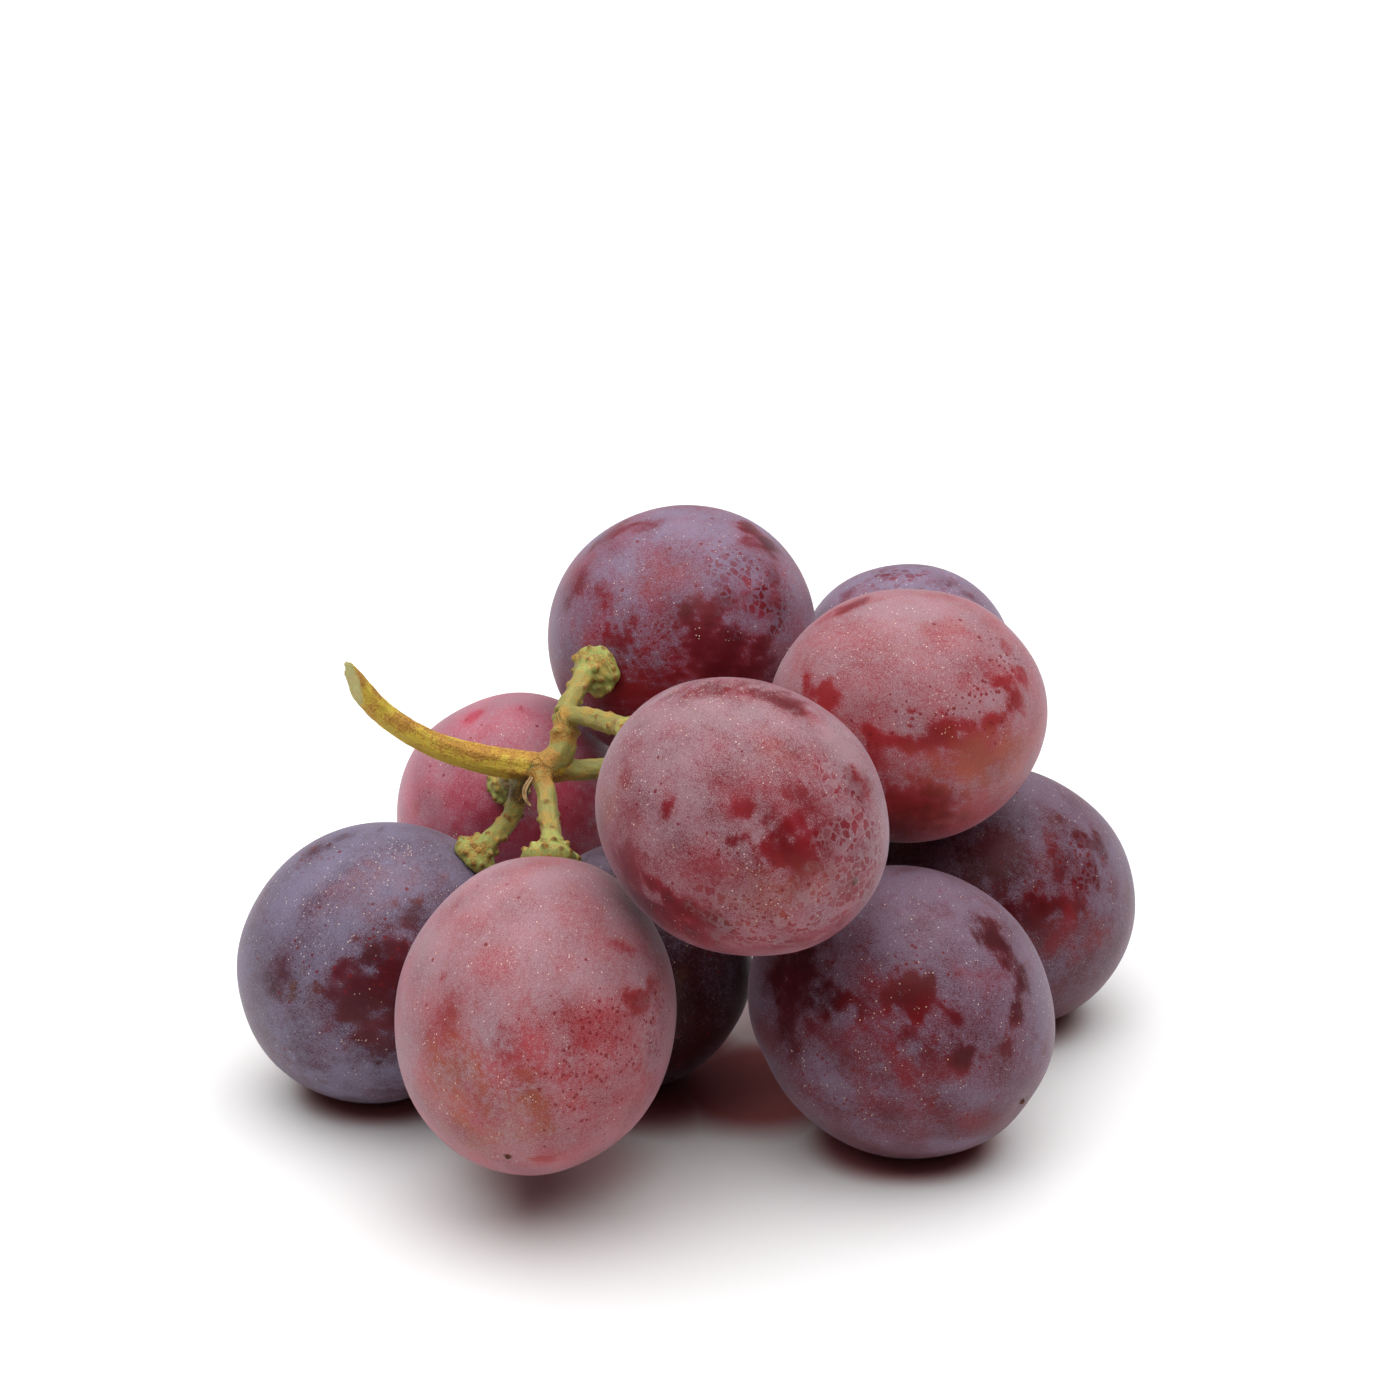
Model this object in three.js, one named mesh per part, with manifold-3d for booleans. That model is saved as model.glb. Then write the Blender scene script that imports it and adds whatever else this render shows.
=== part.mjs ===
// Bunch of grapes: ten berries on one branched stalk, lying on a flat surface.
// Millimetres, +Z up, +X to the right and +Y away from the front. The origin lies on the surface,
// under the middle of the bunch.

import * as THREE from "three";
import { mergeVertices } from "three/addons/utils/BufferGeometryUtils.js";
import Module from "manifold-3d";

const wasm = await Module();
wasm.setup();

// Berries. Each one is a long round body: across is its radius at the waist, along its half length,
// tip the direction from its stalk end to its flower scar, and seat the direction from its centre to
// where the stalk holds it, which is straight behind the tip unless it is given. A berry whose place
// has no height rests on the surface.
const BERRIES = {
  berry_centre: {
    at: [4.2, -23.7, 35.3], across: 11.7, along: 13.5,
    tip: [0.71, -0.69, -0.13], seat: [-0.64, 0.74, 0.19], skin: 0x9a4552,
  },
  berry_top: { at: [-1.1, 19.1, 34.4], across: 12.1, along: 13.5, tip: [0.56, 0.83, -0.09], skin: 0x6f4658 },
  berry_upper_right: { at: [19.3, 0, 34.5], across: 11.35, along: 13, tip: [0.9, 0.42, -0.13], skin: 0xa04c58 },
  berry_back_right: { at: [20.3, 27.8, 26.8], across: 10.4, along: 11.8, tip: [0.3, 0.95, -0.08], skin: 0x7d5064 },
  berry_right_end: { at: [28.2, 8.5], across: 12.2, along: 13.6, tip: [0.83, 0.27, -0.48], skin: 0x64333f },
  berry_front_right: { at: [18.8, -16], across: 12.75, along: 13.65, tip: [0.76, -0.53, -0.39], skin: 0x6f3b4b },
  berry_low_middle: { at: [-5.3, -3.3], across: 10.4, along: 11.4, tip: [-0.1, -0.2, -0.97], skin: 0x3c1c24 },
  berry_front_left: {
    at: [-13.6, -26.4, 17.6], across: 12.2, along: 14.4,
    tip: [-0.15, -0.85, -0.51], seat: [0.07, 0.77, 0.64], skin: 0xb56a72,
  },
  berry_left: {
    at: [-28.6, -6.1], across: 12.4, along: 13.2,
    tip: [-0.63, -0.01, -0.78], seat: [0.65, 0.04, 0.76], skin: 0x6a5468,
  },
  berry_back_left: { at: [-16.9, 19, 16], across: 11.4, along: 13.2, tip: [0.01, 0.81, -0.59], skin: 0xb04a5a },
};
const BERRY_SIDES = 22;
const BERRY_RINGS = 14;
// Depth to which a resting berry is pressed flat by its weight
const FLAT_DEPTH = 0.25;
// Clear distance between the stalk's cups and the berries
const GAP = 0.3;

// Stalk: the cut stem, the axis that runs on behind the centre berry, and a side branch. Each point is
// x, y, z and the radius there.
const STALK_COLOUR = 0xa89a45;
const STEM = [
  [-32.2, -7.5, 43, 0.9], [-30.6, -7, 41.4, 0.96], [-27.5, -6, 37.2, 1.03], [-23.5, -5, 34, 1.12],
  [-19.1, -3.5, 31.8, 1.3], [-14.9, -2.5, 30.6, 1.35], [-12.4, -2.2, 30.3, 1.15],
];
// Slanting cut at the stem's end: the middle of its face and the direction straight out of it
const CUT_POINT = [-30.3, -7, 41.1];
const CUT_NORMAL = [-0.9, -0.4, -0.1];
const AXIS = [
  [-14.4, -2.5, 30.4, 1.2], [-10.5, -1.5, 29.8, 1], [-6.5, 0.2, 29.2, 0.98],
  [-2, 1.2, 28.7, 0.95], [2.4, 2, 28, 0.95], [5.6, 2.8, 27, 0.85],
];
const SIDE_BRANCH = [
  [-13.4, -2.5, 30.5, 1.25], [-12, -1.9, 31.5, 1.22], [-11.6, -0.7, 33.2, 1.15], [-11.8, 0.4, 34.4, 1],
];
const COLLARS = [
  { at: [-11.6, -0.8, 33.1], along: [0, 0.55, 0.83], radius: 1.32, height: 0.7 },
  { at: [-13, -2.4, 30.4], along: [1, 0.1, -0.1], radius: 1.5, height: 1.3 },
];

// Stalks of the single berries: where each leaves the stem, the points on its way, and its cup's radius
const BERRY_STALKS = [
  { to: "berry_top", way: [[-11.8, 0.5, 34.4], [-11.2, 2, 34.9], [-10.6, 3.6, 35.3]], cup: 2.35 },
  {
    to: "berry_centre",
    way: [[-11.7, 0.3, 34.1], [-9.9, -1.5, 35.1], [-8.2, -4.5, 35.9], [-6.8, -7.5, 36.8], [-6.1, -9.6, 37.6]],
    cup: 2.2,
  },
  {
    to: "berry_front_left",
    way: [[-14, -2.9, 30.3], [-13.3, -4.5, 29.2], [-13, -6.6, 28.4], [-12.8, -8.8, 28], [-12.6, -10.9, 28]],
    cup: 2.65,
  },
  {
    to: "berry_left",
    way: [[-14.9, -2.5, 30], [-15.7, -2.2, 28.1], [-16.1, -2.2, 26.4], [-16.8, -2.8, 25]],
    cup: 2.1,
  },
  { to: "berry_back_left", way: [[-15, -2, 29.9], [-15.9, 0.6, 28.6], [-16.6, 3.4, 26.8]], cup: 2 },
  { to: "berry_low_middle", way: [[-3, 1, 28.8], [-3.7, 0.4, 26.4]], cup: 2 },
  { to: "berry_upper_right", way: [[2.4, 2, 28.1], [2.6, -0.6, 31.2], [3.6, -3.8, 34.4]], cup: 2.2 },
  { to: "berry_front_right", way: [[1.4, 1.9, 28.2], [2.6, -1.6, 25.4], [4.4, -5, 21.8]], cup: 2.2 },
  { to: "berry_right_end", way: [[5, 2.7, 27.2], [8.4, 3, 25.4], [11.8, 3.5, 22.8]], cup: 2.2 },
  { to: "berry_back_right", way: [[5, 2.7, 27.2], [8.6, 5.6, 26.4], [12.4, 10.4, 26.6]], cup: 2 },
];
const BERRY_STALK_RADIUS = 0.88;
// How far the neck and the mouth of a cup stand off the berry
const NECK_HEIGHT = 2.4;
const CUP_HEIGHT = 1.15;
const WARTS_PER_STALK = 4;
const WARTS_PER_CUP = 7;
const CUP_SIDES = 11;
const WART_RADIUS = 0.3;
const WART_HEIGHT = 0.4;
const GOLDEN_ANGLE = 2.4;

// Dried bract, a narrow curled leaf that hangs from the branching
const BRACT = [[-14.3, -4, 30.2, 0.3], [-14.9, -4.6, 29.2, 0.32], [-14.8, -4.9, 28.4, 0.26], [-14.3, -5.1, 27.8, 0.14]];

const unit = (list) => new THREE.Vector3(...list).normalize();
const turnTo = (direction) => new THREE.Quaternion().setFromUnitVectors(new THREE.Vector3(0, 0, 1), direction);

// A closed solid from a geometry: vertices that coincide are shared and triangles with no area go
function toSolid(geometry) {
  const bare = geometry.clone();
  bare.deleteAttribute("normal");
  bare.deleteAttribute("uv");
  const merged = mergeVertices(bare, 1e-4);
  const corners = Array.from(merged.index.array);
  const triangles = [];
  for (let i = 0; i < corners.length; i += 3) {
    const [a, b, c] = corners.slice(i, i + 3);
    if (a !== b && b !== c && c !== a) triangles.push(a, b, c);
  }
  return new wasm.Manifold(new wasm.Mesh({
    numProp: 3,
    vertProperties: new Float32Array(merged.attributes.position.array),
    triVerts: new Uint32Array(triangles),
  }));
}

function toMesh(name, solid, colour, roughness) {
  const { numProp, vertProperties, triVerts } = solid.getMesh();
  const positions = new Float32Array((vertProperties.length / numProp) * 3);
  for (let i = 0; i < positions.length / 3; i++) {
    for (let k = 0; k < 3; k++) positions[3 * i + k] = vertProperties[numProp * i + k];
  }
  const geometry = new THREE.BufferGeometry();
  geometry.setAttribute("position", new THREE.BufferAttribute(positions, 3));
  geometry.setIndex(new THREE.BufferAttribute(new Uint32Array(triVerts), 1));
  geometry.computeVertexNormals();
  const material = new THREE.MeshStandardMaterial({ color: colour, roughness, metalness: 0 });
  const mesh = new THREE.Mesh(geometry, material);
  mesh.name = name;
  return mesh;
}

// A round body about +Z from a profile of [radius, height], lowest point first
function turned(profile, sides) {
  const points = profile.map(([radius, height]) => new THREE.Vector2(radius, height));
  return new THREE.LatheGeometry(points, sides).rotateX(Math.PI / 2);
}

// Half the size of a berry along a direction, from its centre to the plane that touches it
function reach(berry, direction) {
  const slope = unit(berry.tip).dot(direction);
  return Math.hypot(berry.across * Math.sqrt(1 - slope * slope), berry.along * slope);
}

function centreOf(berry) {
  const up = new THREE.Vector3(0, 0, 1);
  const [x, y, z = reach(berry, up) - FLAT_DEPTH] = berry.at;
  return new THREE.Vector3(x, y, z);
}

function berryGeometry(berry) {
  const profile = [];
  for (let i = 0; i <= BERRY_RINGS; i++) {
    const angle = Math.PI * (i / BERRY_RINGS);
    profile.push([i % BERRY_RINGS ? berry.across * Math.sin(angle) : 0, -berry.along * Math.cos(angle)]);
  }
  const centre = centreOf(berry);
  return turned(profile, BERRY_SIDES)
    .applyQuaternion(turnTo(unit(berry.tip)))
    .translate(centre.x, centre.y, centre.z);
}

// Where the stalk holds a berry: the point on its skin and the direction straight out of the skin
function seatOf(berry) {
  const axis = unit(berry.tip);
  const direction = berry.seat ? unit(berry.seat) : axis.clone().negate();
  const lengthwise = direction.dot(axis);
  const sideways = direction.clone().addScaledVector(axis, -lengthwise);
  const distance = 1 / Math.hypot(lengthwise / berry.along, sideways.length() / berry.across);
  const outward = sideways.divideScalar(berry.across ** 2)
    .addScaledVector(axis, lengthwise / berry.along ** 2)
    .normalize();
  return { point: centreOf(berry).addScaledVector(direction, distance), outward, roundness: berry.across };
}

// Closed round limb along a smooth curve through the points, each with its own radius
function limb(points, sides, stepLength) {
  const curve = new THREE.CatmullRomCurve3(points.map(([x, y, z]) => new THREE.Vector3(x, y, z)));
  const steps = Math.round(curve.getLength() / stepLength);
  const frames = curve.computeFrenetFrames(steps, false);
  const positions = [];
  const index = [];
  for (let i = 0; i <= steps; i++) {
    const t = curve.getUtoTmapping(i / steps);
    const place = t * (points.length - 1);
    const before = Math.min(Math.floor(place), points.length - 2);
    const radius = THREE.MathUtils.lerp(points[before][3], points[before + 1][3], place - before);
    const centre = curve.getPoint(t);
    for (let j = 0; j < sides; j++) {
      const angle = (2 * Math.PI * j) / sides;
      const corner = centre.clone()
        .addScaledVector(frames.normals[i], radius * Math.cos(angle))
        .addScaledVector(frames.binormals[i], radius * Math.sin(angle));
      positions.push(corner.x, corner.y, corner.z);
      if (i < steps) {
        const a = i * sides + j;
        const b = i * sides + ((j + 1) % sides);
        index.push(a, b, a + sides, b, b + sides, a + sides);
      }
    }
  }
  for (const [end, ring, turn] of [[0, 0, -1], [1, steps, 1]]) {
    const middle = positions.length / 3;
    const centre = curve.getPoint(end);
    positions.push(centre.x, centre.y, centre.z);
    for (let j = 0; j < sides; j++) {
      const a = ring * sides + j;
      const b = ring * sides + ((j + 1) % sides);
      index.push(middle, ...(turn > 0 ? [a, b] : [b, a]));
    }
  }
  const geometry = new THREE.BufferGeometry();
  geometry.setAttribute("position", new THREE.Float32BufferAttribute(positions, 3));
  geometry.setIndex(index);
  return { geometry, curve };
}

// Small pointed wart whose root is sunk below the place it stands on
function wart(place, outward, size) {
  return new THREE.OctahedronGeometry(1)
    .scale(WART_RADIUS * size, WART_RADIUS * size, WART_HEIGHT * size)
    .applyQuaternion(turnTo(outward))
    .translate(place.x, place.y, place.z);
}

// Cup at the end of a berry's stalk: a thick warty disc with a flared neck, lying against the berry
function cupGeometries(seat, radius) {
  const rimDrop = radius ** 2 / (2 * seat.roundness);
  const profile = [
    [0, GAP], [radius * 0.96, GAP - rimDrop], [radius, 0.7], [radius * 0.86, CUP_HEIGHT],
    [radius * 0.52, CUP_HEIGHT + 0.45], [BERRY_STALK_RADIUS * 1.08, NECK_HEIGHT], [0, NECK_HEIGHT],
  ];
  const turn = turnTo(seat.outward);
  const disc = turned(profile, CUP_SIDES).applyQuaternion(turn);
  const pieces = [disc.translate(...seat.point.toArray())];
  for (let i = 0; i < WARTS_PER_CUP; i++) {
    const angle = (2 * Math.PI * i) / WARTS_PER_CUP;
    const outward = new THREE.Vector3(Math.cos(angle), Math.sin(angle), 0.5 + 0.3 * (i % 2)).normalize();
    const place = new THREE.Vector3(Math.cos(angle), Math.sin(angle), 0)
      .multiplyScalar(radius * 0.96)
      .setZ(0.72 + 0.12 * (i % 3));
    pieces.push(wart(
      place.applyQuaternion(turn).add(seat.point),
      outward.applyQuaternion(turn),
      0.9 + 0.25 * (i % 2),
    ));
  }
  return pieces;
}

function collarGeometry({ at, along, radius, height }) {
  const profile = [[0, -height], [radius * 0.7, -height], [radius, 0], [radius * 0.7, height], [0, height]];
  return turned(profile, 10).applyQuaternion(turnTo(unit(along))).translate(...at);
}

// Stalk of one berry: its limb from the stem to the cup, the warts on it and the cup
function berryStalkGeometries({ to, way, cup }, order) {
  const seat = seatOf(BERRIES[to]);
  const neck = seat.point.clone().addScaledVector(seat.outward, NECK_HEIGHT);
  const mouth = seat.point.clone().addScaledVector(seat.outward, CUP_HEIGHT);
  const points = [...way, neck.toArray(), mouth.toArray()].map((p) => [...p, BERRY_STALK_RADIUS]);
  const { geometry, curve } = limb(points, 7, 1.5);
  const pieces = [geometry, ...cupGeometries(seat, cup)];
  for (let i = 0; i < WARTS_PER_STALK; i++) {
    const t = 0.4 + (0.5 * (i + 0.5)) / WARTS_PER_STALK;
    const centre = curve.getPointAt(t);
    const angle = GOLDEN_ANGLE * (i + order);
    const outward = new THREE.Vector3(Math.cos(angle), Math.sin(angle), 0)
      .applyQuaternion(turnTo(curve.getTangentAt(t)));
    pieces.push(wart(centre.addScaledVector(outward, BERRY_STALK_RADIUS * 0.95), outward, 0.85 + 0.3 * (i % 2)));
  }
  return pieces;
}

// Block that takes off the stem's end beyond the slanting cut
function cutBlock() {
  const size = 12;
  const normal = unit(CUT_NORMAL);
  const middle = new THREE.Vector3(...CUT_POINT).addScaledVector(normal, size / 2);
  return new THREE.BoxGeometry(size, size, size).applyQuaternion(turnTo(normal)).translate(...middle.toArray());
}

function stalkSolid() {
  const pieces = [
    limb(STEM, 10, 2).geometry,
    limb(AXIS, 8, 2).geometry,
    limb(SIDE_BRANCH, 9, 1).geometry,
    limb(BRACT, 5, 0.8).geometry,
    ...COLLARS.map(collarGeometry),
    ...BERRY_STALKS.flatMap(berryStalkGeometries),
  ];
  return pieces.map(toSolid).reduce((whole, piece) => whole.add(piece)).subtract(toSolid(cutBlock()));
}

// Block below the surface, which presses the resting berries flat
function surfaceBlock() {
  const size = 200;
  return new THREE.BoxGeometry(size, size, size).translate(0, 0, -size / 2);
}

const bunch = new THREE.Group();
bunch.add(toMesh("stalk", stalkSolid(), STALK_COLOUR, 0.6));
for (const [name, berry] of Object.entries(BERRIES)) {
  const body = toSolid(berryGeometry(berry)).subtract(toSolid(surfaceBlock()));
  bunch.add(toMesh(name, body, berry.skin, 0.4));
}

export default bunch;
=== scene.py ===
# %% [markdown]
# A bunch of ten dark red grapes lies on a white table. Each berry is a firm, slightly long ellipsoid
# under a thin layer of pale wax, the bloom, which is rubbed off in patches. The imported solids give
# every size and place. This lesson lays finer skins over them: numpy works out each surface in
# millimetres as whole arrays, and a mesh holds it in metres, in the same frame as the solids.

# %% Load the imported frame
from math import cos, pi, radians, sin

import bpy
import numpy as np
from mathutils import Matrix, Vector


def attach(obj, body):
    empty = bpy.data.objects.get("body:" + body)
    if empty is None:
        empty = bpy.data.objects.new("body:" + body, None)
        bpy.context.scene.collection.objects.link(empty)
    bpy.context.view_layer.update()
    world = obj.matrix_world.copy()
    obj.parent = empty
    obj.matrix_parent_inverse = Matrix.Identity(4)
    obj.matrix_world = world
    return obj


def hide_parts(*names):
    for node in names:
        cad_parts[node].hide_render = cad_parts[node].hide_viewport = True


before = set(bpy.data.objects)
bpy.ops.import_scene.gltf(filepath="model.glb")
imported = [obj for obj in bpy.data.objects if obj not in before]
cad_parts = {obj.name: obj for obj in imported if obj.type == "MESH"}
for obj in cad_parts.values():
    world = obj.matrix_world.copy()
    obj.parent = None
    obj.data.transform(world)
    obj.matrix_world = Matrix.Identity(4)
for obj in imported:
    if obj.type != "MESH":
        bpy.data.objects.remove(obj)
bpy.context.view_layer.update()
MM = 0.001                              # metres in a millimetre

# %% [markdown]
# The camera comes first, because the marks on the skins are listed by the pixel where the photograph
# shows them. It looks down at the bunch from the front through a long lens, so that nothing bulges
# towards it. Its three directions are kept as vectors, to turn a place on a skin into a pixel.

# %% Set the camera
IMAGE_SIDE = 1400                       # pixels along each side of the photograph
FOCAL_PIXELS = 4982                     # focal length, measured in those pixels
SENSOR_WIDTH = 36                       # mm
CLIP_NEAR, CLIP_FAR = 0.01, 20          # m
LOOKING_DOWN = radians(23.34)
CAMERA_AT = np.array([0.6, -412.1, 213.8])      # mm
RIGHT = np.array([1.0, 0.0, 0.0])
UP = np.array([0.0, sin(LOOKING_DOWN), cos(LOOKING_DOWN)])
BACK = np.array([0.0, -cos(LOOKING_DOWN), sin(LOOKING_DOWN)])


def add_object(name, data):
    """A new object in the scene that shows the given mesh, light or camera."""
    thing = bpy.data.objects.new(name, data)
    bpy.context.scene.collection.objects.link(thing)
    return thing


lens = bpy.data.cameras.new("camera")
lens.sensor_width = SENSOR_WIDTH
lens.lens = FOCAL_PIXELS * SENSOR_WIDTH / IMAGE_SIDE
lens.clip_start, lens.clip_end = CLIP_NEAR, CLIP_FAR
camera = add_object("camera", lens)
camera.location = CAMERA_AT * MM
camera.rotation_euler = (pi / 2 - LOOKING_DOWN, 0, 0)
bpy.context.scene.camera = camera


def pixels_of(points):
    """Where points (mm) show in the photograph, and how deep they lie behind the camera's plane.
    The offset along right and up, over the depth, times the focal length, gives the pixel."""
    offset = points - CAMERA_AT
    depth = -offset @ BACK
    across = IMAGE_SIDE / 2 + FOCAL_PIXELS * (offset @ RIGHT) / depth
    down = IMAGE_SIDE / 2 - FOCAL_PIXELS * (offset @ UP) / depth
    return across, down, depth


print("the row's origin shows at pixel", [round(float(c), 1) for c in pixels_of(np.zeros(3))[:2]])

# %% [markdown]
# The table is one wide sheet of matt white. The room is white behind the bunch and dimmer on the
# camera's side, as in a studio, and it looks plain white where the camera sees it. One broad soft
# panel hangs overhead and a little behind, so that the tops of the berries are brighter and the
# shadow falls softly under them and towards the camera; a smaller one fills in from the front.

# %% Light the table
PANELS = [                              # name, place (m), side (m), power (W), what it faces (m)
    ("panel_overhead", (0.0, 0.03, 0.65), 1.2, 12.0, (0, 0.02, 0)),
    ("panel_front", (-0.3, -0.8, 0.6), 0.5, 0.5, (0, 0, 0.02)),
]
ROOM_BEHIND, ROOM_IN_FRONT = 0.14, 0.015    # brightness of the room's far side and of its near side
FADE_FROM, FADE_TO = -0.6, 0.5          # the way's Y, 1 straight behind the bunch, where the fade runs
TABLE_HALF, TABLE_DROP = 3.0, 2e-5      # m; the drop keeps the table out of the berries' flat spots

room = bpy.data.worlds.new("white_room")
bpy.context.scene.world = room
room.use_nodes = True
sky = room.node_tree
way = sky.nodes.new("ShaderNodeSeparateXYZ")
sky.links.new(sky.nodes.new("ShaderNodeTexCoord").outputs["Generated"], way.inputs[0])
fade = sky.nodes.new("ShaderNodeMapRange")
for limit, value in {"From Min": FADE_FROM, "From Max": FADE_TO,
                     "To Min": ROOM_IN_FRONT, "To Max": ROOM_BEHIND}.items():
    fade.inputs[limit].default_value = value
sky.links.new(way.outputs["Y"], fade.inputs["Value"])
seen = sky.nodes.new("ShaderNodeMath")
seen.operation = "MAXIMUM"
sky.links.new(fade.outputs["Result"], seen.inputs[0])
sky.links.new(sky.nodes.new("ShaderNodeLightPath").outputs["Is Camera Ray"], seen.inputs[1])
sky.links.new(seen.outputs[0], sky.nodes["Background"].inputs["Strength"])
sky.nodes["Background"].inputs["Color"].default_value = (1, 1, 1, 1)
bpy.context.scene.view_settings.view_transform = "Standard"

for name, place, side, power, target in PANELS:
    light = bpy.data.lights.new(name, "AREA")
    light.shape, light.size, light.energy = "SQUARE", side, power
    panel = add_object(name, light)
    panel.location = place
    panel.rotation_euler = (Vector(target) - panel.location).to_track_quat("-Z", "Y").to_euler()

table_mesh = bpy.data.meshes.new("table")
corners = [(-1, -1), (1, -1), (1, 1), (-1, 1)]
table_points = [(x * TABLE_HALF, y * TABLE_HALF, -TABLE_DROP) for x, y in corners]
table_mesh.from_pydata(table_points, [], [(0, 1, 2, 3)])
table = add_object("table", table_mesh)
print("lights:", len(PANELS), "panels and the white room")

# %% [markdown]
# Every material here is wired from the same few kinds of node, so a small helper adds a node, sets
# it and links it in one line. A socket, a number or a colour may stand for any input.

# %% Wire nodes briefly


def colour(code):
    """A hex colour as the eye sees it, turned into the linear light values that shaders use."""
    seen = np.array([int(code[i:i + 2], 16) for i in (0, 2, 4)]) / 255
    return np.where(seen < 0.04045, seen / 12.92, ((seen + 0.055) / 1.055) ** 2.4)


def painted(code):
    """A hex colour as the four numbers of a colour socket."""
    return (*colour(code), 1)


class Wiring:
    """Adds nodes to one node tree."""

    def __init__(self, tree):
        self.tree = tree

    def put(self, socket, value):
        if isinstance(value, bpy.types.NodeSocket):
            self.tree.links.new(value, socket)
        else:
            socket.default_value = value

    def add(self, kind, inputs=(), **settings):
        node = self.tree.nodes.new("ShaderNode" + kind)
        for name, value in settings.items():
            setattr(node, name, value)
        for name, value in dict(inputs).items():
            self.put(node.inputs[name], value)
        return node

    def math(self, operation, a, b=0.0):
        return self.add("Math", {0: a, 1: b}, operation=operation).outputs[0]

    def plus(self, a, b):
        return self.math("ADD", a, b)

    def minus(self, a, b):
        return self.math("SUBTRACT", a, b)

    def times(self, a, b):
        return self.math("MULTIPLY", a, b)

    def mix(self, share, a, b):
        node = self.add("Mix", data_type="RGBA")
        for place, value in ((0, share), (6, a), (7, b)):
            self.put(node.inputs[place], value)
        return node.outputs[2]

    def step(self, value, low, high):
        """0 below low, 1 above high, and a smooth S between them."""
        limits = {"Value": value, "From Min": low, "From Max": high}
        return self.add("MapRange", limits, interpolation_type="SMOOTHSTEP").outputs["Result"]

    def noise(self, place, scale, detail=2.0, roughness=0.5):
        values = {"Vector": place, "Scale": scale, "Detail": detail, "Roughness": roughness}
        return self.add("TexNoise", values).outputs["Fac"]

    def cells(self, place, scale):
        """Voronoi cells: how far it is to the middle of the cell that holds the place, and the
        three random numbers that each cell has as its colour."""
        node = self.add("TexVoronoi", {"Vector": place, "Scale": scale})
        chance = self.add("SeparateColor", {"Color": node.outputs["Color"]}).outputs
        return node.outputs["Distance"], chance

    def cell_walls(self, place, scale):
        """How far it is to the nearest border of the same cells."""
        values = {"Vector": place, "Scale": scale}
        return self.add("TexVoronoi", values, feature="DISTANCE_TO_EDGE").outputs["Distance"]

    def brighten(self, paint, factor):
        values = {"Color": paint, "Value": factor}
        return self.add("HueSaturation", values).outputs["Color"]

    def vector(self, operation, a, b, output="Vector"):
        return self.add("VectorMath", {0: a, 1: b}, operation=operation).outputs[output]


def new_group(name, inputs, outputs):
    """An empty node group with named sockets, and its wiring, entrance and exit."""
    group = bpy.data.node_groups.new(name, "ShaderNodeTree")
    for way, sockets in (("INPUT", inputs), ("OUTPUT", outputs)):
        for socket, kind in sockets.items():
            group.interface.new_socket(socket, in_out=way, socket_type="NodeSocket" + kind)
    wires = Wiring(group)
    entrance = group.nodes.new("NodeGroupInput")
    leaving = group.nodes.new("NodeGroupOutput")
    return group, wires, entrance.outputs, leaving.inputs


def new_material(name):
    """A material with only its Principled shader, and its wiring."""
    material = bpy.data.materials.new(name)
    material.use_nodes = True
    return material, Wiring(material.node_tree), material.node_tree.nodes["Principled BSDF"]


print("mid grey in linear light:", np.round(colour("808080"), 3))

# %% [markdown]
# The table is not a perfect white: a trace of grey cloud keeps the sheet from looking like nothing.
# Light that has passed through the berries is red, so the shadow right under them is dark red in the
# photograph. The skins here don't carry light on to the table, so the paint is red in those places.

# %% Paint the table
# The red under the berries is a painted shadow: it darkens and reddens the table where they shade it.
PAINTED_RED_SHADOWS = [                   # x, y, where the red is full and where it ends (mm), its share
    (-28.6, -6.1, 5, 9, 0.9), (-5.3, -3.3, 8, 15, 0.9), (18.8, -16, 6, 10, 0.9),
    (28.2, 8.5, 5, 10, 0.9), (6, -6, 6, 12, 0.95), (-12, -20, 3, 11, 0.6),
    (-16.9, 19, 3, 10, 0.5), (12, 8, 5, 14, 0.5),
]
TABLE_WHITE, CLOUD_GREY = (0.93, 0.93, 0.93, 1), (0.9, 0.9, 0.9, 1)
SHADOW_RED = (0.42, 0.09, 0.09, 1)
CLOUDS_PER_METRE = 9.0
white, wires, shader = new_material("table_white")
ground = wires.add("TexCoord").outputs["Object"]
reddened = 0.0
for x, y, full, end, share in PAINTED_RED_SHADOWS:
    away = wires.vector("DISTANCE", ground, (x * MM, y * MM, 0), "Value")
    here = wires.times(wires.step(away, end * MM, full * MM), share)
    reddened = wires.math("MAXIMUM", reddened, here)
plain = wires.mix(wires.noise(ground, CLOUDS_PER_METRE), TABLE_WHITE, CLOUD_GREY)
wires.put(shader.inputs["Base Color"], wires.mix(reddened, plain, SHADOW_RED))
shader.inputs["Roughness"].default_value = 0.7
shader.inputs["Specular IOR Level"].default_value = 0.2
table_mesh.materials.append(white)
print("table painted:", len(PAINTED_RED_SHADOWS), "reddened places")

# %% [markdown]
# A smooth field that wavers in all directions is useful twice: it keeps a berry from being a perfect
# ellipsoid, and it frays the edges of the marks on its skin. A sum of a few cosine waves in random
# directions gives one at any point of space, for whole arrays at once, and the seed fixes it.

# %% Make wavering fields


def waver(points, wavelength, seed, waves=9):
    """About -1 to 1: the mean of cosine waves of random direction and phase, each of about the
    wavelength, made stronger by the root of their number so that they don't cancel."""
    chance = np.random.default_rng(seed)
    direction = chance.normal(size=(3, waves))
    direction /= np.linalg.norm(direction, axis=0)
    length = wavelength * chance.uniform(0.7, 1.4, waves)
    phase = chance.uniform(0, 2 * pi, waves)
    return np.cos(2 * pi * (points @ direction) / length + phase).sum(axis=1) / np.sqrt(waves / 1.6)


def s_curve(value, low, high):
    """0 below low, 1 above high, with a smooth S between them."""
    t = np.clip((value - low) / (high - low), 0, 1)
    return t * t * (3 - 2 * t)


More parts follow.
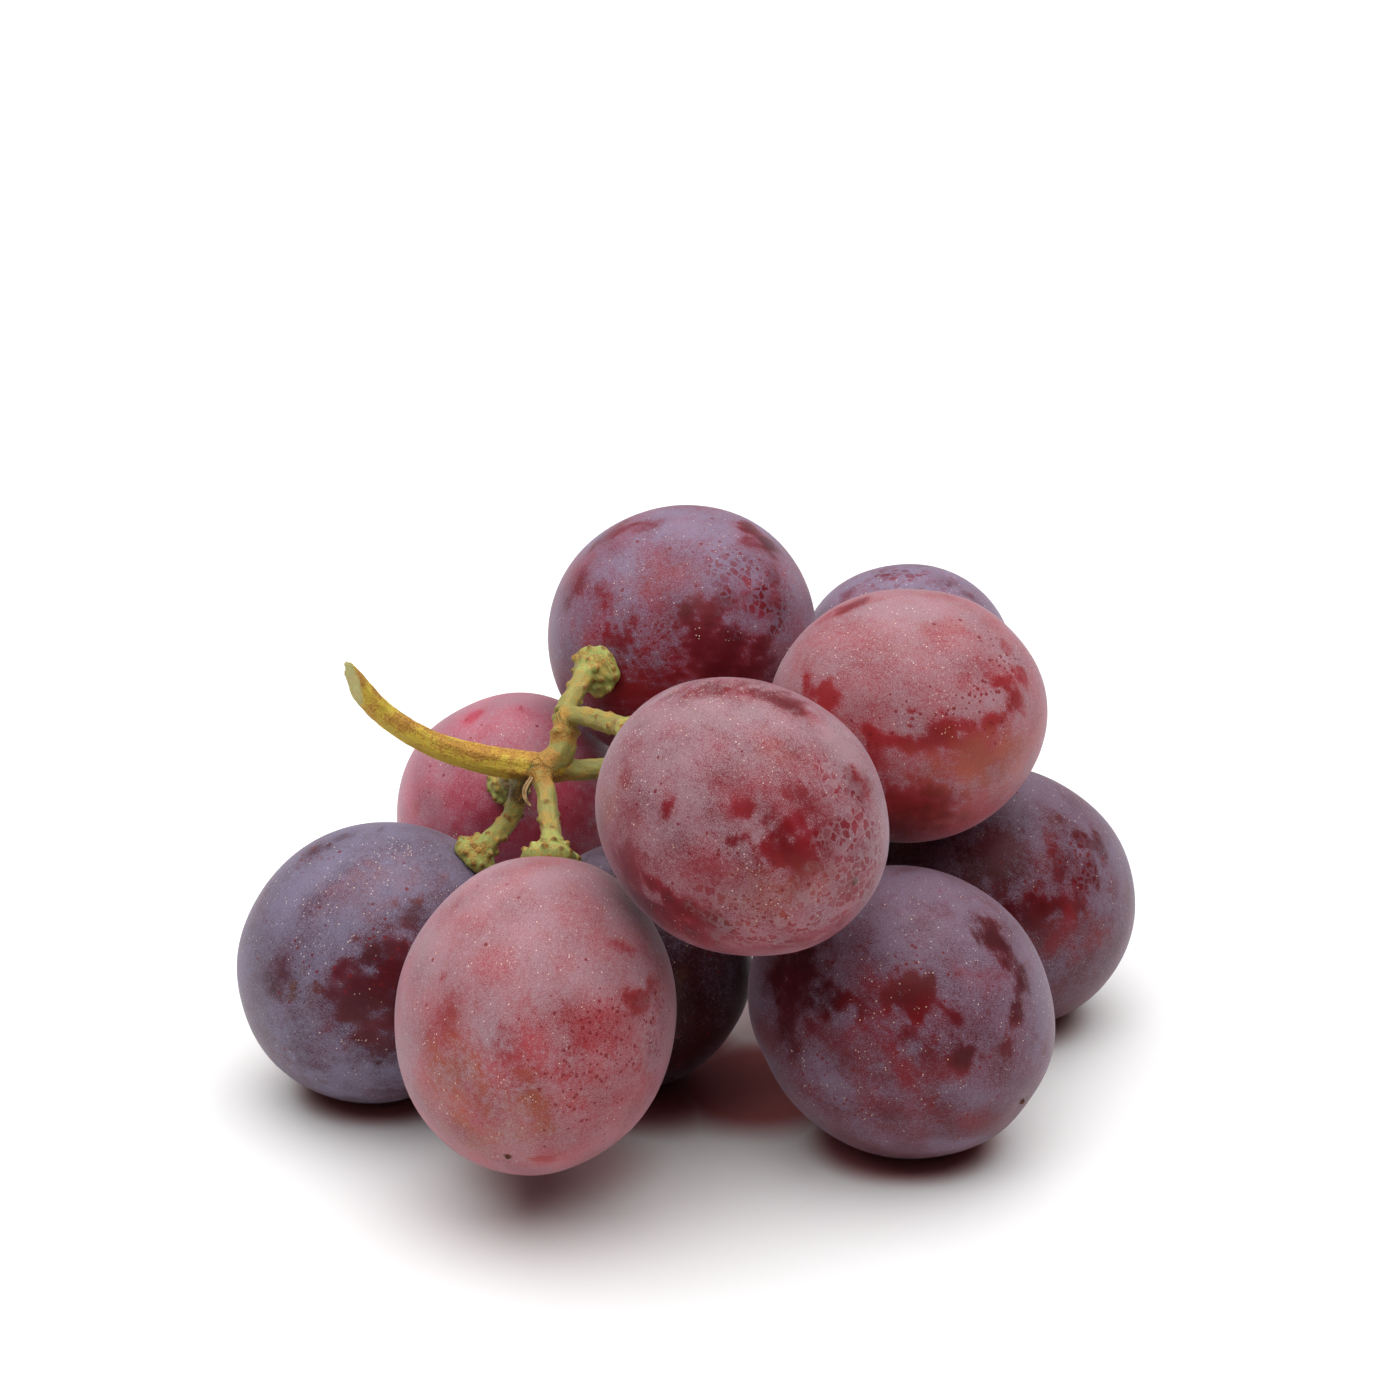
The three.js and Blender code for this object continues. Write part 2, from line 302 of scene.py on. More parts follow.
print("sample of a field:", np.round(waver(np.eye(3) * 5, 4, 1), 2))

# %% [markdown]
# Berries, stalks and cups are all closed skins over a row of rings. One helper joins neighbouring
# rings with four-sided faces and closes both ends with a fan, so there is no seam and no hole.

# %% Close a skin over rings


def skin_over(rings, first, last):
    """Vertices and faces of a closed skin. rings is an array (rings, around, 3); each ring's points
    are joined to the next ring's, and the two end points close the first and the last ring."""
    count, around = rings.shape[:2]
    here = np.arange(count * around).reshape(count, around)
    beside = np.roll(here, -1, axis=1)
    walls = np.stack([here[:-1], beside[:-1], beside[1:], here[1:]], axis=-1).reshape(-1, 4)
    pole = count * around
    start = np.stack([beside[0], here[0], np.full(around, pole)], axis=-1)
    end = np.stack([here[-1], beside[-1], np.full(around, pole + 1)], axis=-1)
    points = np.concatenate([rings.reshape(-1, 3), [first], [last]])
    return points, walls.tolist() + start.tolist() + end.tolist()


def new_piece(name, points, faces):
    """A smooth mesh object in metres from points in millimetres."""
    mesh = bpy.data.meshes.new(name)
    mesh.from_pydata((points * MM).tolist(), [], faces)
    mesh.shade_smooth()
    return add_object(name, mesh)


def store(mesh, name, values):
    """Keeps one number, or one vector or colour, per vertex as a named attribute of the mesh."""
    kinds = {1: ("FLOAT", "value"), 3: ("FLOAT_VECTOR", "vector"), 4: ("FLOAT_COLOR", "color")}
    kind, field = kinds[1 if values.ndim == 1 else values.shape[1]]
    attribute = mesh.attributes.new(name, kind, "POINT")
    attribute.data.foreach_set(field, np.ascontiguousarray(values, dtype=np.float32).ravel())


def unit(vectors):
    """The vector, or every row of an array of them, shortened or stretched to a length of 1."""
    vectors = np.asarray(vectors, float)
    return vectors / np.linalg.norm(vectors, axis=-1, keepdims=True)


def upright_axes(direction):
    """Three right-angled directions as rows; the third is the given one."""
    third = unit(direction)
    helper = np.array([0.0, 0.0, 1.0]) if abs(third[2]) < 0.9 else np.array([1.0, 0.0, 0.0])
    first = unit(np.cross(helper, third))
    return np.array([first, np.cross(third, first), third])


print("three directions about a slant:", np.round(upright_axes([1, 1, 1]), 2).tolist())

# %% [markdown]
# Each berry is set out as in the solids: the middle, half the width across, half the length along,
# and the way its tip points. Four berries rest on the table and are pressed flat there by a quarter
# of a millimetre, so their height follows from how far the ellipsoid reaches down.

# %% Set out the berries
FLAT_DEPTH = 0.25                       # mm
# seat is where the stalk joins, if that isn't right opposite the tip; swell is a list of swellings,
# each with the way it points and its height (mm)
BERRIES = {
    "berry_centre": dict(at=[4.2, -23.7, 35.3], across=11.7, along=13.5, tip=[0.71, -0.69, -0.13],
                         seat=[-0.64, 0.74, 0.19]),
    "berry_top": dict(at=[-1.1, 19.1, 34.4], across=12.1, along=13.5, tip=[0.56, 0.83, -0.09]),
    "berry_upper_right": dict(at=[19.3, 0, 34.5], across=11.35, along=13, tip=[0.9, 0.42, -0.13]),
    "berry_back_right": dict(at=[20.3, 27.8, 26.8], across=10.4, along=11.8, tip=[0.3, 0.95, -0.08]),
    "berry_right_end": dict(at=[28.2, 8.5], across=12.2, along=13.6, tip=[0.83, 0.27, -0.48]),
    "berry_front_right": dict(at=[18.8, -16], across=12.75, along=13.65, tip=[0.76, -0.53, -0.39],
                              swell=[([-0.93, 0.15, 0.34], 0.8)]),
    "berry_low_middle": dict(at=[-5.3, -3.3], across=10.4, along=11.4, tip=[-0.1, -0.2, -0.97],
                             swell=[([1, 0, 0.1], 0.3)]),
    "berry_front_left": dict(at=[-13.6, -26.4, 17.6], across=12.2, along=14.4,
                             tip=[-0.15, -0.85, -0.51], seat=[0.07, 0.77, 0.64]),
    "berry_left": dict(at=[-28.6, -6.1], across=12.4, along=13.2, tip=[-0.63, -0.01, -0.78],
                       seat=[0.65, 0.04, 0.76]),
    "berry_back_left": dict(at=[-16.9, 19, 16], across=11.4, along=13.2, tip=[0.01, 0.81, -0.59]),
}


def reach(berry, direction):
    """How far the ellipsoid reaches from its middle in a direction: the length of the vector whose
    parts are the half width times the sine, and the half length times the cosine, of the angle
    between the direction and the tip."""
    along = unit(berry["tip"]) @ direction
    return np.hypot(berry["across"] * np.sqrt(1 - along**2), berry["along"] * along)


for berry in BERRIES.values():
    if len(berry["at"]) == 2:
        berry["at"] = [*berry["at"], reach(berry, np.array([0, 0, 1.0])) - FLAT_DEPTH]
    berry["at"] = np.array(berry["at"], float)
print("height of each middle (mm):", {name: round(float(b["at"][2]), 2) for name, b in BERRIES.items()})

# %% [markdown]
# A berry's skin is an ellipsoid of revolution on a grid: the first parameter runs round it and the
# second from the stalk's end to the tip. The rings crowd towards both ends, where the detail is. At
# the tip stands the dry dot left by the flower, and the whole skin wavers by a few hundredths of a
# millimetre, because no berry is a perfect ellipsoid.

# %% Shape the berries
AROUND, RINGS = 208, 136
RING_CROWDING = 0.11                    # 0 would space the rings evenly from end to end
SKIN_WAVER, WAVER_LENGTH = 0.07, 11     # mm, its height and its wavelength
SWELL_EDGE = 0.72                       # cosine of the angle from its middle at which a swelling ends
DOT_RADIUS, DOT_HEIGHT = 0.27, 0.28     # mm, the flower's dry dot
DIMPLE_RADIUS, DIMPLE_DEPTH = 1.5, 0.16
FAR_AWAY = 99                           # mm, more than any berry's size


def from_tip_of(place):
    """Distance from the berry's axis on the tip's half; on the stalk's half everything is far away."""
    return np.hypot(place[:, 0], place[:, 1]) + np.where(place[:, 2] < 0, FAR_AWAY, 0)


def berry_skin(berry, seed):
    """A point at polar angle a from the stalk's end and turn t has the local place
    (across sin a cos t, across sin a sin t, -along cos a). The skin moves in or out along that
    direction by the waver, any swelling, a dimple at the tip and a dot in it. Returns the points in the
    frame, their local places and the faces."""
    share = np.arange(1, RINGS) / RINGS
    polar = pi * (share - RING_CROWDING * np.sin(2 * pi * share))
    turn = np.linspace(0, 2 * pi, AROUND, endpoint=False)
    polar = np.concatenate([np.repeat(polar, AROUND), [0, pi]])
    turn = np.concatenate([np.tile(turn, RINGS - 1), [0, 0]])
    direction = np.stack([np.sin(polar) * np.cos(turn), np.sin(polar) * np.sin(turn), -np.cos(polar)],
                         axis=1)
    place = direction * [berry["across"], berry["across"], berry["along"]]
    from_tip = from_tip_of(place)
    lift = SKIN_WAVER * waver(place, WAVER_LENGTH, seed)
    outward = unit(place @ upright_axes(berry["tip"]))
    for towards, height in berry.get("swell", ()):
        lift += height * s_curve(outward @ unit(towards), SWELL_EDGE, 1.0)
    lift -= DIMPLE_DEPTH * np.exp(-(from_tip / DIMPLE_RADIUS) ** 2)
    lift += DOT_HEIGHT * np.exp(-(from_tip / DOT_RADIUS) ** 4)
    place = place + direction * lift[:, None]
    points = berry["at"] + place @ upright_axes(berry["tip"])
    points[:, 2] = np.maximum(points[:, 2], 0)
    rings = points[:-2].reshape(RINGS - 1, AROUND, 3)
    points, faces = skin_over(rings, points[-2], points[-1])
    return points, place, faces


print("points in a berry's skin:", AROUND * (RINGS - 1) + 2)

# %% [markdown]
# What makes these berries real is the marks on their skins. The bloom is thick here and rubbed off
# there; bare skin is crimson or nearly black; on some sides the wax is a net of small cells or is
# pricked with dots; and grains of wax glint, painted as pale highlights. Some marks paint light as
# well: some dark marks are painted shade where a neighbouring berry shades the skin, and some thin
# marks of wax along the edges and bottoms are painted sheen. Each mark is listed by the pixel where
# its middle shows, its two radii in pixels, its turn in degrees and its strength. It becomes a soft,
# frayed patch on the berry, as deep as it is wide, so it belongs to the skin and not to the view.

# %% List the marks of the skins
MARKS = {
    "berry_centre": {
        "bare": [
            (790, 848, 36, 27, 15, 1), (742, 812, 12, 9, 0, .8), (801, 793, 16, 12, 0, .55),
            (830, 830, 24, 30, 0, .5), (859, 783, 12, 25, -10, .9), (669, 808, 8, 10, 0, .75),
            (626, 777, 8, 12, 30, .4), (693, 913, 34, 15, 25, .9), (666, 922, 22, 12, 40, .7),
            (788, 944, 22, 6, -8, .8), (655, 885, 14, 9, 20, .6), (700, 938, 20, 6, 20, .7),
            (731, 841, 5, 5, 0, .7), (712, 834, 4, 4, 0, .6), (850, 892, 10, 12, 0, .5),
        ],
        # Partly darker bare skin and partly painted shade: the lower left marks paint the front left
        # berry's shade, and the thin bands along the top edge paint shade there too.
        "dark": [
            (630, 862, 20, 26, -25, .6), (774, 698, 32, 9, 18, .75), (660, 935, 26, 10, 35, .8),
            (645, 905, 24, 24, -30, .9), (630, 885, 14, 20, -20, .6), (676, 908, 24, 16, 30, .45),
            (695, 920, 44, 14, 28, .5), (700, 690, 60, 8, -6, .35),
        ],
        "red": [
            (693, 694, 30, 6, -12, .35), (801, 718, 9, 7, 0, .8), (797, 716, 26, 10, 25, .6),
            (780, 780, 60, 40, 20, .35), (728, 870, 36, 18, 10, .35), (700, 800, 30, 18, 0, .3),
        ],
        "amber": [(775, 895, 60, 26, -15, .35), (610, 800, 14, 24, 10, .3)],
        "rose": [(610, 800, 14, 24, 10, .4), (775, 750, 30, 20, 20, .45)],
        # Besides thicker wax, the thin marks along the right edge are painted sheen.
        "wax": [
            (700, 750, 60, 16, -25, .35), (640, 740, 34, 30, 0, .3), (650, 835, 20, 26, 0, .3),
            (845, 750, 16, 34, -40, .5), (885, 830, 8, 60, 5, .5), (750, 712, 50, 12, 5, .25),
            (818, 913, 13, 6, -30, .5),
        ],
        "net": [
            (855, 835, 36, 50, 0, 1), (822, 912, 50, 34, -25, .9), (835, 780, 20, 24, 0, .8),
            (748, 933, 46, 16, 8, .8), (720, 895, 40, 22, 15, .6), (865, 870, 20, 40, 15, .8),
        ],
        "pits": [
            (735, 840, 50, 22, 10, .6), (748, 915, 60, 26, 8, .8), (665, 870, 30, 26, 0, .35),
            (650, 800, 24, 20, 0, .3),
        ],
        "glints": [
            (762, 888, 7, 6, 0, 1), (774, 903, 12, 8, 0, 1), (748, 864, 9, 10, 0, .9),
            (817, 913, 9, 6, 0, .7), (625, 770, 36, 60, 20, .5), (720, 692, 80, 12, -8, .6),
            (768, 782, 16, 10, 30, .5), (680, 930, 40, 24, 30, .5),
        ],
    },
    "berry_front_left": {
        "bare": [
            (640, 1002, 18, 14, -20, .95), (620, 945, 14, 7, 20, .7), (443, 978, 3, 4, 0, .8),
            (546, 1158, 12, 4, 0, .6), (650, 985, 14, 10, 0, .7),
        ],
        "dark": [(655, 1000, 18, 50, 8, .3), (640, 1000, 14, 10, 0, .3)],
        "red": [
            (468, 922, 18, 14, 0, .45), (554, 909, 14, 12, 0, .3), (443, 1046, 24, 44, -5, .4),
            (592, 1040, 46, 36, 10, .85), (579, 1092, 40, 30, 0, .6), (525, 1060, 46, 40, 0, .35),
            (560, 870, 30, 8, 0, .25), (650, 1085, 20, 24, 20, .6),
        ],
        "amber": [
            (452, 1085, 32, 46, -8, .6), (528, 1112, 26, 34, 10, .6), (480, 1140, 40, 20, 10, .4),
        ],
        "rose": [
            (460, 1044, 22, 44, 8, .5), (525, 1107, 26, 22, 0, .3), (520, 1110, 50, 20, 0, .3),
            (470, 1150, 24, 20, 0, .2), (510, 1140, 60, 24, 0, .4),
        ],
        # Besides thicker wax, the thin mark along the left edge is painted sheen, and the wide one
        # along the bottom paints the table's reflection.
        "wax": [
            (590, 886, 30, 16, 20, .4), (649, 1029, 20, 26, 20, .55), (430, 950, 16, 36, 15, .4),
            (408, 1060, 10, 60, -8, .5), (520, 935, 40, 20, 0, .2), (510, 870, 50, 10, 0, .2),
            (510, 1145, 60, 20, 0, .4),
        ],
        "net": [(655, 1020, 18, 40, 5, .5), (640, 1060, 24, 30, 0, .35)],
        "pits": [
            (592, 1040, 46, 40, 0, 1), (579, 1092, 46, 36, 0, .7), (655, 1010, 16, 50, 0, .8),
            (640, 1110, 34, 34, 0, .5),
        ],
        "glints": [
            (508, 955, 14, 9, 0, 1), (464, 962, 8, 8, 0, 1), (573, 955, 8, 6, 0, .9),
            (586, 1002, 8, 7, 0, .9), (426, 1020, 12, 24, 0, .8), (525, 1103, 12, 9, 0, .9),
            (504, 1084, 9, 7, 0, .8), (440, 1100, 20, 30, 0, .3), (600, 890, 40, 30, 0, .35),
            (500, 900, 40, 20, 0, .3),
        ],
        "streaks": [(500, 1070, 90, 60, 0, 1)],
    },
    "berry_upper_right": {
        "bare": [
            (822, 697, 24, 15, 30, .8), (1000, 681, 14, 8, 15, .9), (1022, 679, 12, 12, 0, .85),
            (1016, 701, 9, 15, 10, .95), (1007, 648, 7, 9, 0, .5), (995, 720, 13, 7, 0, .8),
            (959, 726, 32, 9, -3, .7), (932, 742, 32, 8, 0, .6), (910, 726, 3, 3, 0, .9),
            (912, 711, 2.5, 2.5, 0, .8), (941, 712, 5, 3, 0, .7), (867, 729, 6, 6, 0, .85),
            (878, 752, 12, 22, 15, .55), (918, 806, 44, 22, 0, 1), (887, 741, 20, 8, 20, .6),
        ],
        # The two marks low on this berry are painted shade; the thin band at the top is dark bare skin.
        "dark": [
            (850, 606, 28, 5, -24, .7), (910, 822, 44, 14, 0, .65), (905, 800, 30, 12, 0, .35),
        ],
        "red": [
            (878, 600, 14, 5, -15, .5), (856, 620, 16, 9, -20, .4), (943, 598, 18, 9, 10, .45),
            (808, 668, 12, 22, 20, .5), (964, 679, 12, 11, 0, .9), (932, 740, 38, 12, 0, .9),
            (960, 625, 22, 12, 10, .3), (980, 668, 40, 12, 10, .15), (975, 762, 56, 28, -15, .6),
            (900, 775, 40, 20, 0, .4),
        ],
        "amber": [(985, 765, 50, 26, -20, .4), (925, 820, 40, 16, 0, .3)],
        "rose": [
            (896, 648, 20, 10, 5, .7), (919, 629, 16, 11, 0, .45), (960, 625, 20, 10, 0, .4),
            (975, 762, 56, 30, -15, .8), (1010, 760, 30, 34, 0, .5),
        ],
        "wax": [
            (784, 666, 10, 30, 10, .5), (993, 699, 11, 11, 0, .6), (850, 660, 26, 16, 0, .25),
            (915, 610, 60, 16, 0, .5), (990, 650, 34, 10, 10, .35), (890, 690, 40, 14, 0, .2),
        ],
        "pits": [
            (993, 699, 32, 28, 0, 1), (930, 715, 60, 14, 0, .5), (880, 735, 24, 10, 0, .7),
            (1000, 650, 26, 20, 0, .8),
        ],
        "glints": [
            (939, 699, 14, 12, 0, .8), (950, 724, 16, 9, 0, .9), (897, 722, 8, 6, 0, .8),
            (865, 640, 40, 30, 0, .3), (960, 660, 50, 30, 0, .3), (998, 735, 14, 8, 0, .6),
        ],
        "streaks": [(980, 770, 60, 50, 0, .6)],
    },
    "berry_back_left": {
        "bare": [
            (474, 718, 8, 14, 25, .5), (588, 742, 14, 24, 0, .35), (501, 799, 11, 11, 0, .25),
            (568, 823, 34, 30, 0, .45), (488, 823, 28, 16, 10, .3),
        ],
        "red": [(520, 790, 70, 60, 0, .5)],
        "dark": [(521, 708, 1.6, 9, -18, .8), (521, 712, 14, 12, 0, .12)],
        "rose": [(416, 807, 6, 10, 0, .7), (440, 800, 20, 30, 0, .2)],
        # The thin mark of wax along the left edge is painted sheen.
        "wax": [(454, 726, 16, 10, 0, .3), (440, 770, 30, 30, 0, .2), (403, 770, 8, 50, 10, .5)],
        "pits": [(440, 760, 26, 30, 0, .25)],
    },
    "berry_top": {
        "bare": [
            (598, 590, 11, 10, 0, .3), (609, 607, 11, 10, 0, .25), (709, 607, 28, 11, -18, .6),
            (691, 617, 15, 9, 0, .6), (769, 602, 18, 11, 10, .6), (752, 596, 16, 8, 0, .3),
            (652, 524, 17, 8, -25, .7), (628, 690, 34, 14, 0, .6), (621, 641, 16, 20, 0, .35),
            (775, 578, 9, 10, 0, .4), (760, 612, 20, 8, 0, .35),
        ],
        "dark": [
            (752, 531, 22, 11, 42, 1), (769, 546, 14, 12, 40, 1), (748, 543, 14, 6, 0, .4),
            (769, 602, 18, 11, 10, .6), (752, 596, 16, 8, 0, .6), (775, 580, 12, 16, 0, .5),
            (780, 610, 12, 20, 0, .4), (709, 607, 28, 11, -18, .4), (670, 640, 60, 30, 0, .15),
            (714, 648, 32, 24, 0, .95), (762, 648, 22, 18, 0, .95), (743, 670, 44, 16, 0, 1),
            (614, 531, 22, 7, -38, .55), (577, 584, 9, 20, 25, .45), (566, 604, 6, 9, 20, .4),
            (595, 545, 12, 8, -45, .4),
        ],
        "red": [
            (614, 550, 14, 7, -25, .5), (600, 600, 24, 20, 0, .25), (625, 690, 70, 50, 0, .75),
            (600, 640, 40, 40, 0, .3),
        ],
        "rose": [(655, 577, 38, 22, 0, .35), (690, 570, 20, 14, 0, .3)],
        "wax": [
            (575, 625, 20, 30, 0, .3), (626, 567, 20, 10, -10, .45), (690, 532, 46, 18, 5, .6),
            (730, 560, 40, 18, 20, .3), (600, 565, 14, 20, 30, .2), (555, 640, 7, 30, 0, .4),
        ],
        "net": [
            (726, 574, 32, 26, 10, .8), (757, 583, 28, 26, 0, .8), (752, 612, 28, 18, 0, .6),
            (783, 620, 18, 30, 0, .7), (790, 580, 14, 34, -15, .6),
        ],
        "pits": [
            (655, 627, 28, 14, -20, 1), (666, 655, 10, 8, 0, 1), (650, 665, 14, 10, 0, 1),
            (640, 645, 40, 30, 0, .4), (735, 560, 30, 20, 0, .6),
        ],
        "glints": [
            (636, 600, 14, 10, 0, .7), (620, 612, 16, 8, 0, .4), (731, 637, 12, 7, 0, .9),
            (699, 637, 6, 8, 0, .7), (676, 652, 6, 5, 0, .6),
        ],
    },
    "berry_back_right": {
        "red": [(905, 578, 24, 7, 0, .4), (860, 590, 14, 10, -20, .4)],
        "dark": [
            (884, 574, 16, 8, 0, .5), (950, 582, 18, 9, 20, .45), (848, 592, 10, 8, -30, .5),
            (972, 598, 12, 12, 0, .6), (905, 566, 40, 3, 0, .4),
        ],
        "wax": [(925, 570, 18, 7, 10, .4), (866, 578, 10, 8, 0, .3)],
        "net": [(900, 578, 60, 16, 0, .9)],
    },
    "berry_left": {
        "dark": [
            (413, 919, 22, 18, -30, .5), (378, 956, 26, 14, -30, .55), (366, 997, 34, 34, -20, .8),
            (396, 980, 22, 44, 0, .8), (382, 1040, 26, 18, 0, .45), (279, 978, 14, 20, 0, .4),
            (316, 851, 17, 5, -22, .4), (382, 829, 2, 10, 45, .6), (376, 1064, 3, 2.5, 0, .9),
            (390, 1091, 2, 2, 0, .9), (345, 836, 12, 4, -15, .5), (330, 846, 3, 6, 0, .5),
        ],
        "red": [(366, 1000, 40, 40, 0, .5), (400, 960, 26, 50, 0, .4), (372, 1035, 30, 24, 0, .4)],
        "rose": [(394, 878, 40, 18, 0, .7), (360, 900, 44, 24, 0, .4)],
        "brown": [
            (293, 985, 4, 5, 0, 1), (302, 971, 6, 5, 0, .6), (310, 995, 8, 14, 20, .4),
            (291, 995, 3, 5, 0, .5),
        ],
        # The two wide marks along the bottom paint the table's pale reflection as wax.
        "wax": [
            (300, 890, 40, 34, -30, .35), (270, 1000, 22, 40, 0, .2), (320, 1040, 40, 20, 20, .25),
            (350, 830, 50, 10, -10, .2), (350, 1080, 70, 20, 5, .8), (400, 1075, 30, 14, 0, .5),
        ],
        "pits": [(316, 855, 26, 12, -20, .8), (340, 960, 60, 40, 0, .25)],
        "glints": [
            (325, 945, 42, 10, 8, .6), (357, 881, 40, 12, 0, .45), (305, 905, 22, 14, 0, .4),
            (325, 965, 10, 14, 0, .6), (366, 1000, 18, 14, 0, .4), (352, 1040, 26, 8, 10, .7),
            (400, 850, 30, 24, 0, .5),
        ],
    },
    "berry_right_end": {
        "bare": [
            (1059, 818, 13, 8, 0, .4), (1048, 837, 9, 7, 0, .4), (1050, 852, 8, 7, 0, .45),
            (1080, 837, 14, 8, 15, 1), (1097, 845, 11, 16, -15, .8), (1091, 864, 12, 7, 0, .9),
            (1060, 868, 7, 18, 0, .8), (1080, 881, 9, 10, 0, .7), (1096, 880, 8, 7, 30, .85),
            (1078, 898, 6, 14, 0, .75), (1057, 905, 20, 9, 0, .9), (1079, 908, 9, 7, 0, .7),
            (1115, 888, 5, 14, 0, .5), (1024, 878, 2, 2, 0, .9),
        ],
        # Painted shade: these marks darken the left and lower side, which the berries beside it shade.
        "dark": [(1025, 913, 22, 18, 10, .7), (1000, 860, 30, 40, 0, .5)],
        "red": [
            (1073, 932, 42, 24, -5, .9), (1040, 880, 40, 40, 0, .3), (1070, 870, 40, 36, 0, .3),
        ],
        # The thin mark along the right edge is painted sheen.
        "wax": [
            (1040, 795, 36, 14, 30, .7), (1100, 905, 18, 12, 0, .3), (1120, 870, 12, 50, 0, .7),
            (1105, 810, 16, 24, 40, .4), (1081, 853, 7, 6, 0, .5),
        ],
        "net": [(1085, 865, 30, 34, 0, .6)],
        "pits": [(1081, 853, 24, 20, 0, .8), (1020, 880, 40, 20, 0, .3)],
    },
    "berry_front_right": {
        "bare": [
            (956, 1016, 12, 7, 20, .9), (906, 1036, 10, 12, 0, .6), (910, 990, 22, 22, 0, .75),
            (1007, 1046, 12, 9, -30, .6), (930, 1070, 40, 20, 0, .3),
        ],
        # The marks near the left edge paint the shade that the berries beside it cast; the rest are
        # dark bare skin.
        "dark": [
            (995, 940, 15, 28, -32, 1), (1021, 981, 9, 16, -10, .9), (1017, 1012, 8, 18, 10, .8),
            (837, 1000, 20, 16, 0, .8), (965, 1051, 14, 15, 0, 1), (912, 990, 24, 20, 0, .35),
            (862, 1005, 10, 12, 0, .5), (800, 970, 30, 40, 20, .7), (790, 1020, 20, 30, 0, .5),
        ],
        "red": [
            (985, 981, 30, 18, 0, .5), (930, 1070, 40, 22, 0, .4), (910, 990, 36, 30, 0, .35),
            (870, 1000, 40, 30, 0, .6), (880, 1050, 40, 30, 0, .4), (980, 1119, 24, 9, 0, .4),
            (890, 1105, 40, 10, 10, .4),
        ],
        "rose": [(926, 925, 24, 18, 0, .35)],
        # The thin marks along the right edge are painted sheen, and the one along the bottom paints the
        # table's reflection.
        "wax": [
            (930, 892, 44, 22, 10, .8), (1036, 1000, 12, 40, 0, .5), (890, 941, 20, 20, 0, .55),
            (930, 940, 26, 26, 0, .4), (841, 1093, 40, 13, 28, .6), (950, 1145, 38, 7, -8, .6),
            (1035, 960, 10, 40, -25, .5), (950, 1000, 14, 14, 0, .35), (1000, 1020, 10, 20, 0, .3),
            (985, 960, 10, 10, 0, .2), (880, 1090, 30, 10, 10, .3), (1042, 1030, 8, 40, 5, .5),
            (990, 1080, 30, 24, 0, .15),
        ],
        "net": [(985, 985, 30, 26, 0, .4)],
        "pits": [
            (863, 1113, 12, 7, 0, .9), (915, 965, 26, 26, 0, .5), (945, 1080, 60, 40, 0, .25),
            (825, 1075, 40, 24, 30, .5),
        ],
        "glints": [
            (871, 973, 16, 10, 0, .6), (872, 1006, 14, 7, 0, .5), (960, 1087, 12, 8, 0, 1),
            (912, 988, 20, 18, 0, .35), (985, 985, 28, 22, 0, .3), (1020, 1020, 8, 20, 0, .6),
            (863, 1115, 12, 6, 0, .7), (800, 1070, 30, 20, 30, .5), (900, 1060, 60, 50, 0, .2),
        ],
        "scratch": [
            (938, 884, 18, 12, 20, 1), (944, 900, 6, 8, 0, .8), (912, 940, 6, 14, 0, .8),
            (924, 968, 16, 8, 20, .9),
        ],
    },
    "berry_low_middle": {
        "wax": [(600, 862, 22, 12, 20, .8), (722, 1023, 6, 6, 0, .5), (708, 1047, 9, 4, 0, .4)],
        "brown": [(681, 975, 8, 14, 20, .35)],
    },
}
print("marks listed:", sum(len(spots) for kinds in MARKS.values() for spots in kinds.values()))

# %% [markdown]
# The sides that the photograph doesn't show get marks of the same kinds and sizes, scattered by a
# seeded random draw over the far half of each berry, so that no side is left bare of them.

# %% Turn the marks into fields
KINDS = ("bare", "dark", "red", "rose", "amber", "brown",
         "wax", "net", "pits", "glints", "scratch", "streaks")
PIXELS_PER_MM = 10.6
SHALLOWEST = 6                          # pixels: no mark reaches less deep than this
FRAY = 0.42                             # share of its radius by which a mark's edge wavers
FRAY_LENGTHS, FINE_SHARE = (2.2, 0.9), 0.6      # wavelengths (mm) of the fray and its fine part's share
EDGE, FADE = 1.45, 1.15                 # where a mark ends and how wide its soft edge is, in radii
FAR_EDGE, FAR_FADE = 1.3, 0.75          # the same for the marks on the far sides
FAR_RADII, FAR_STRENGTHS = (1.2, 3.6), (0.4, 0.9)       # mm, and the range of their strengths
FAR_BEHIND = 3.5                        # mm behind a berry's middle, where its far side starts
FAR_MARKS = {"bare": 6, "dark": 3, "red": 7, "rose": 4, "wax": 8, "net": 4, "pits": 5, "glints": 9}


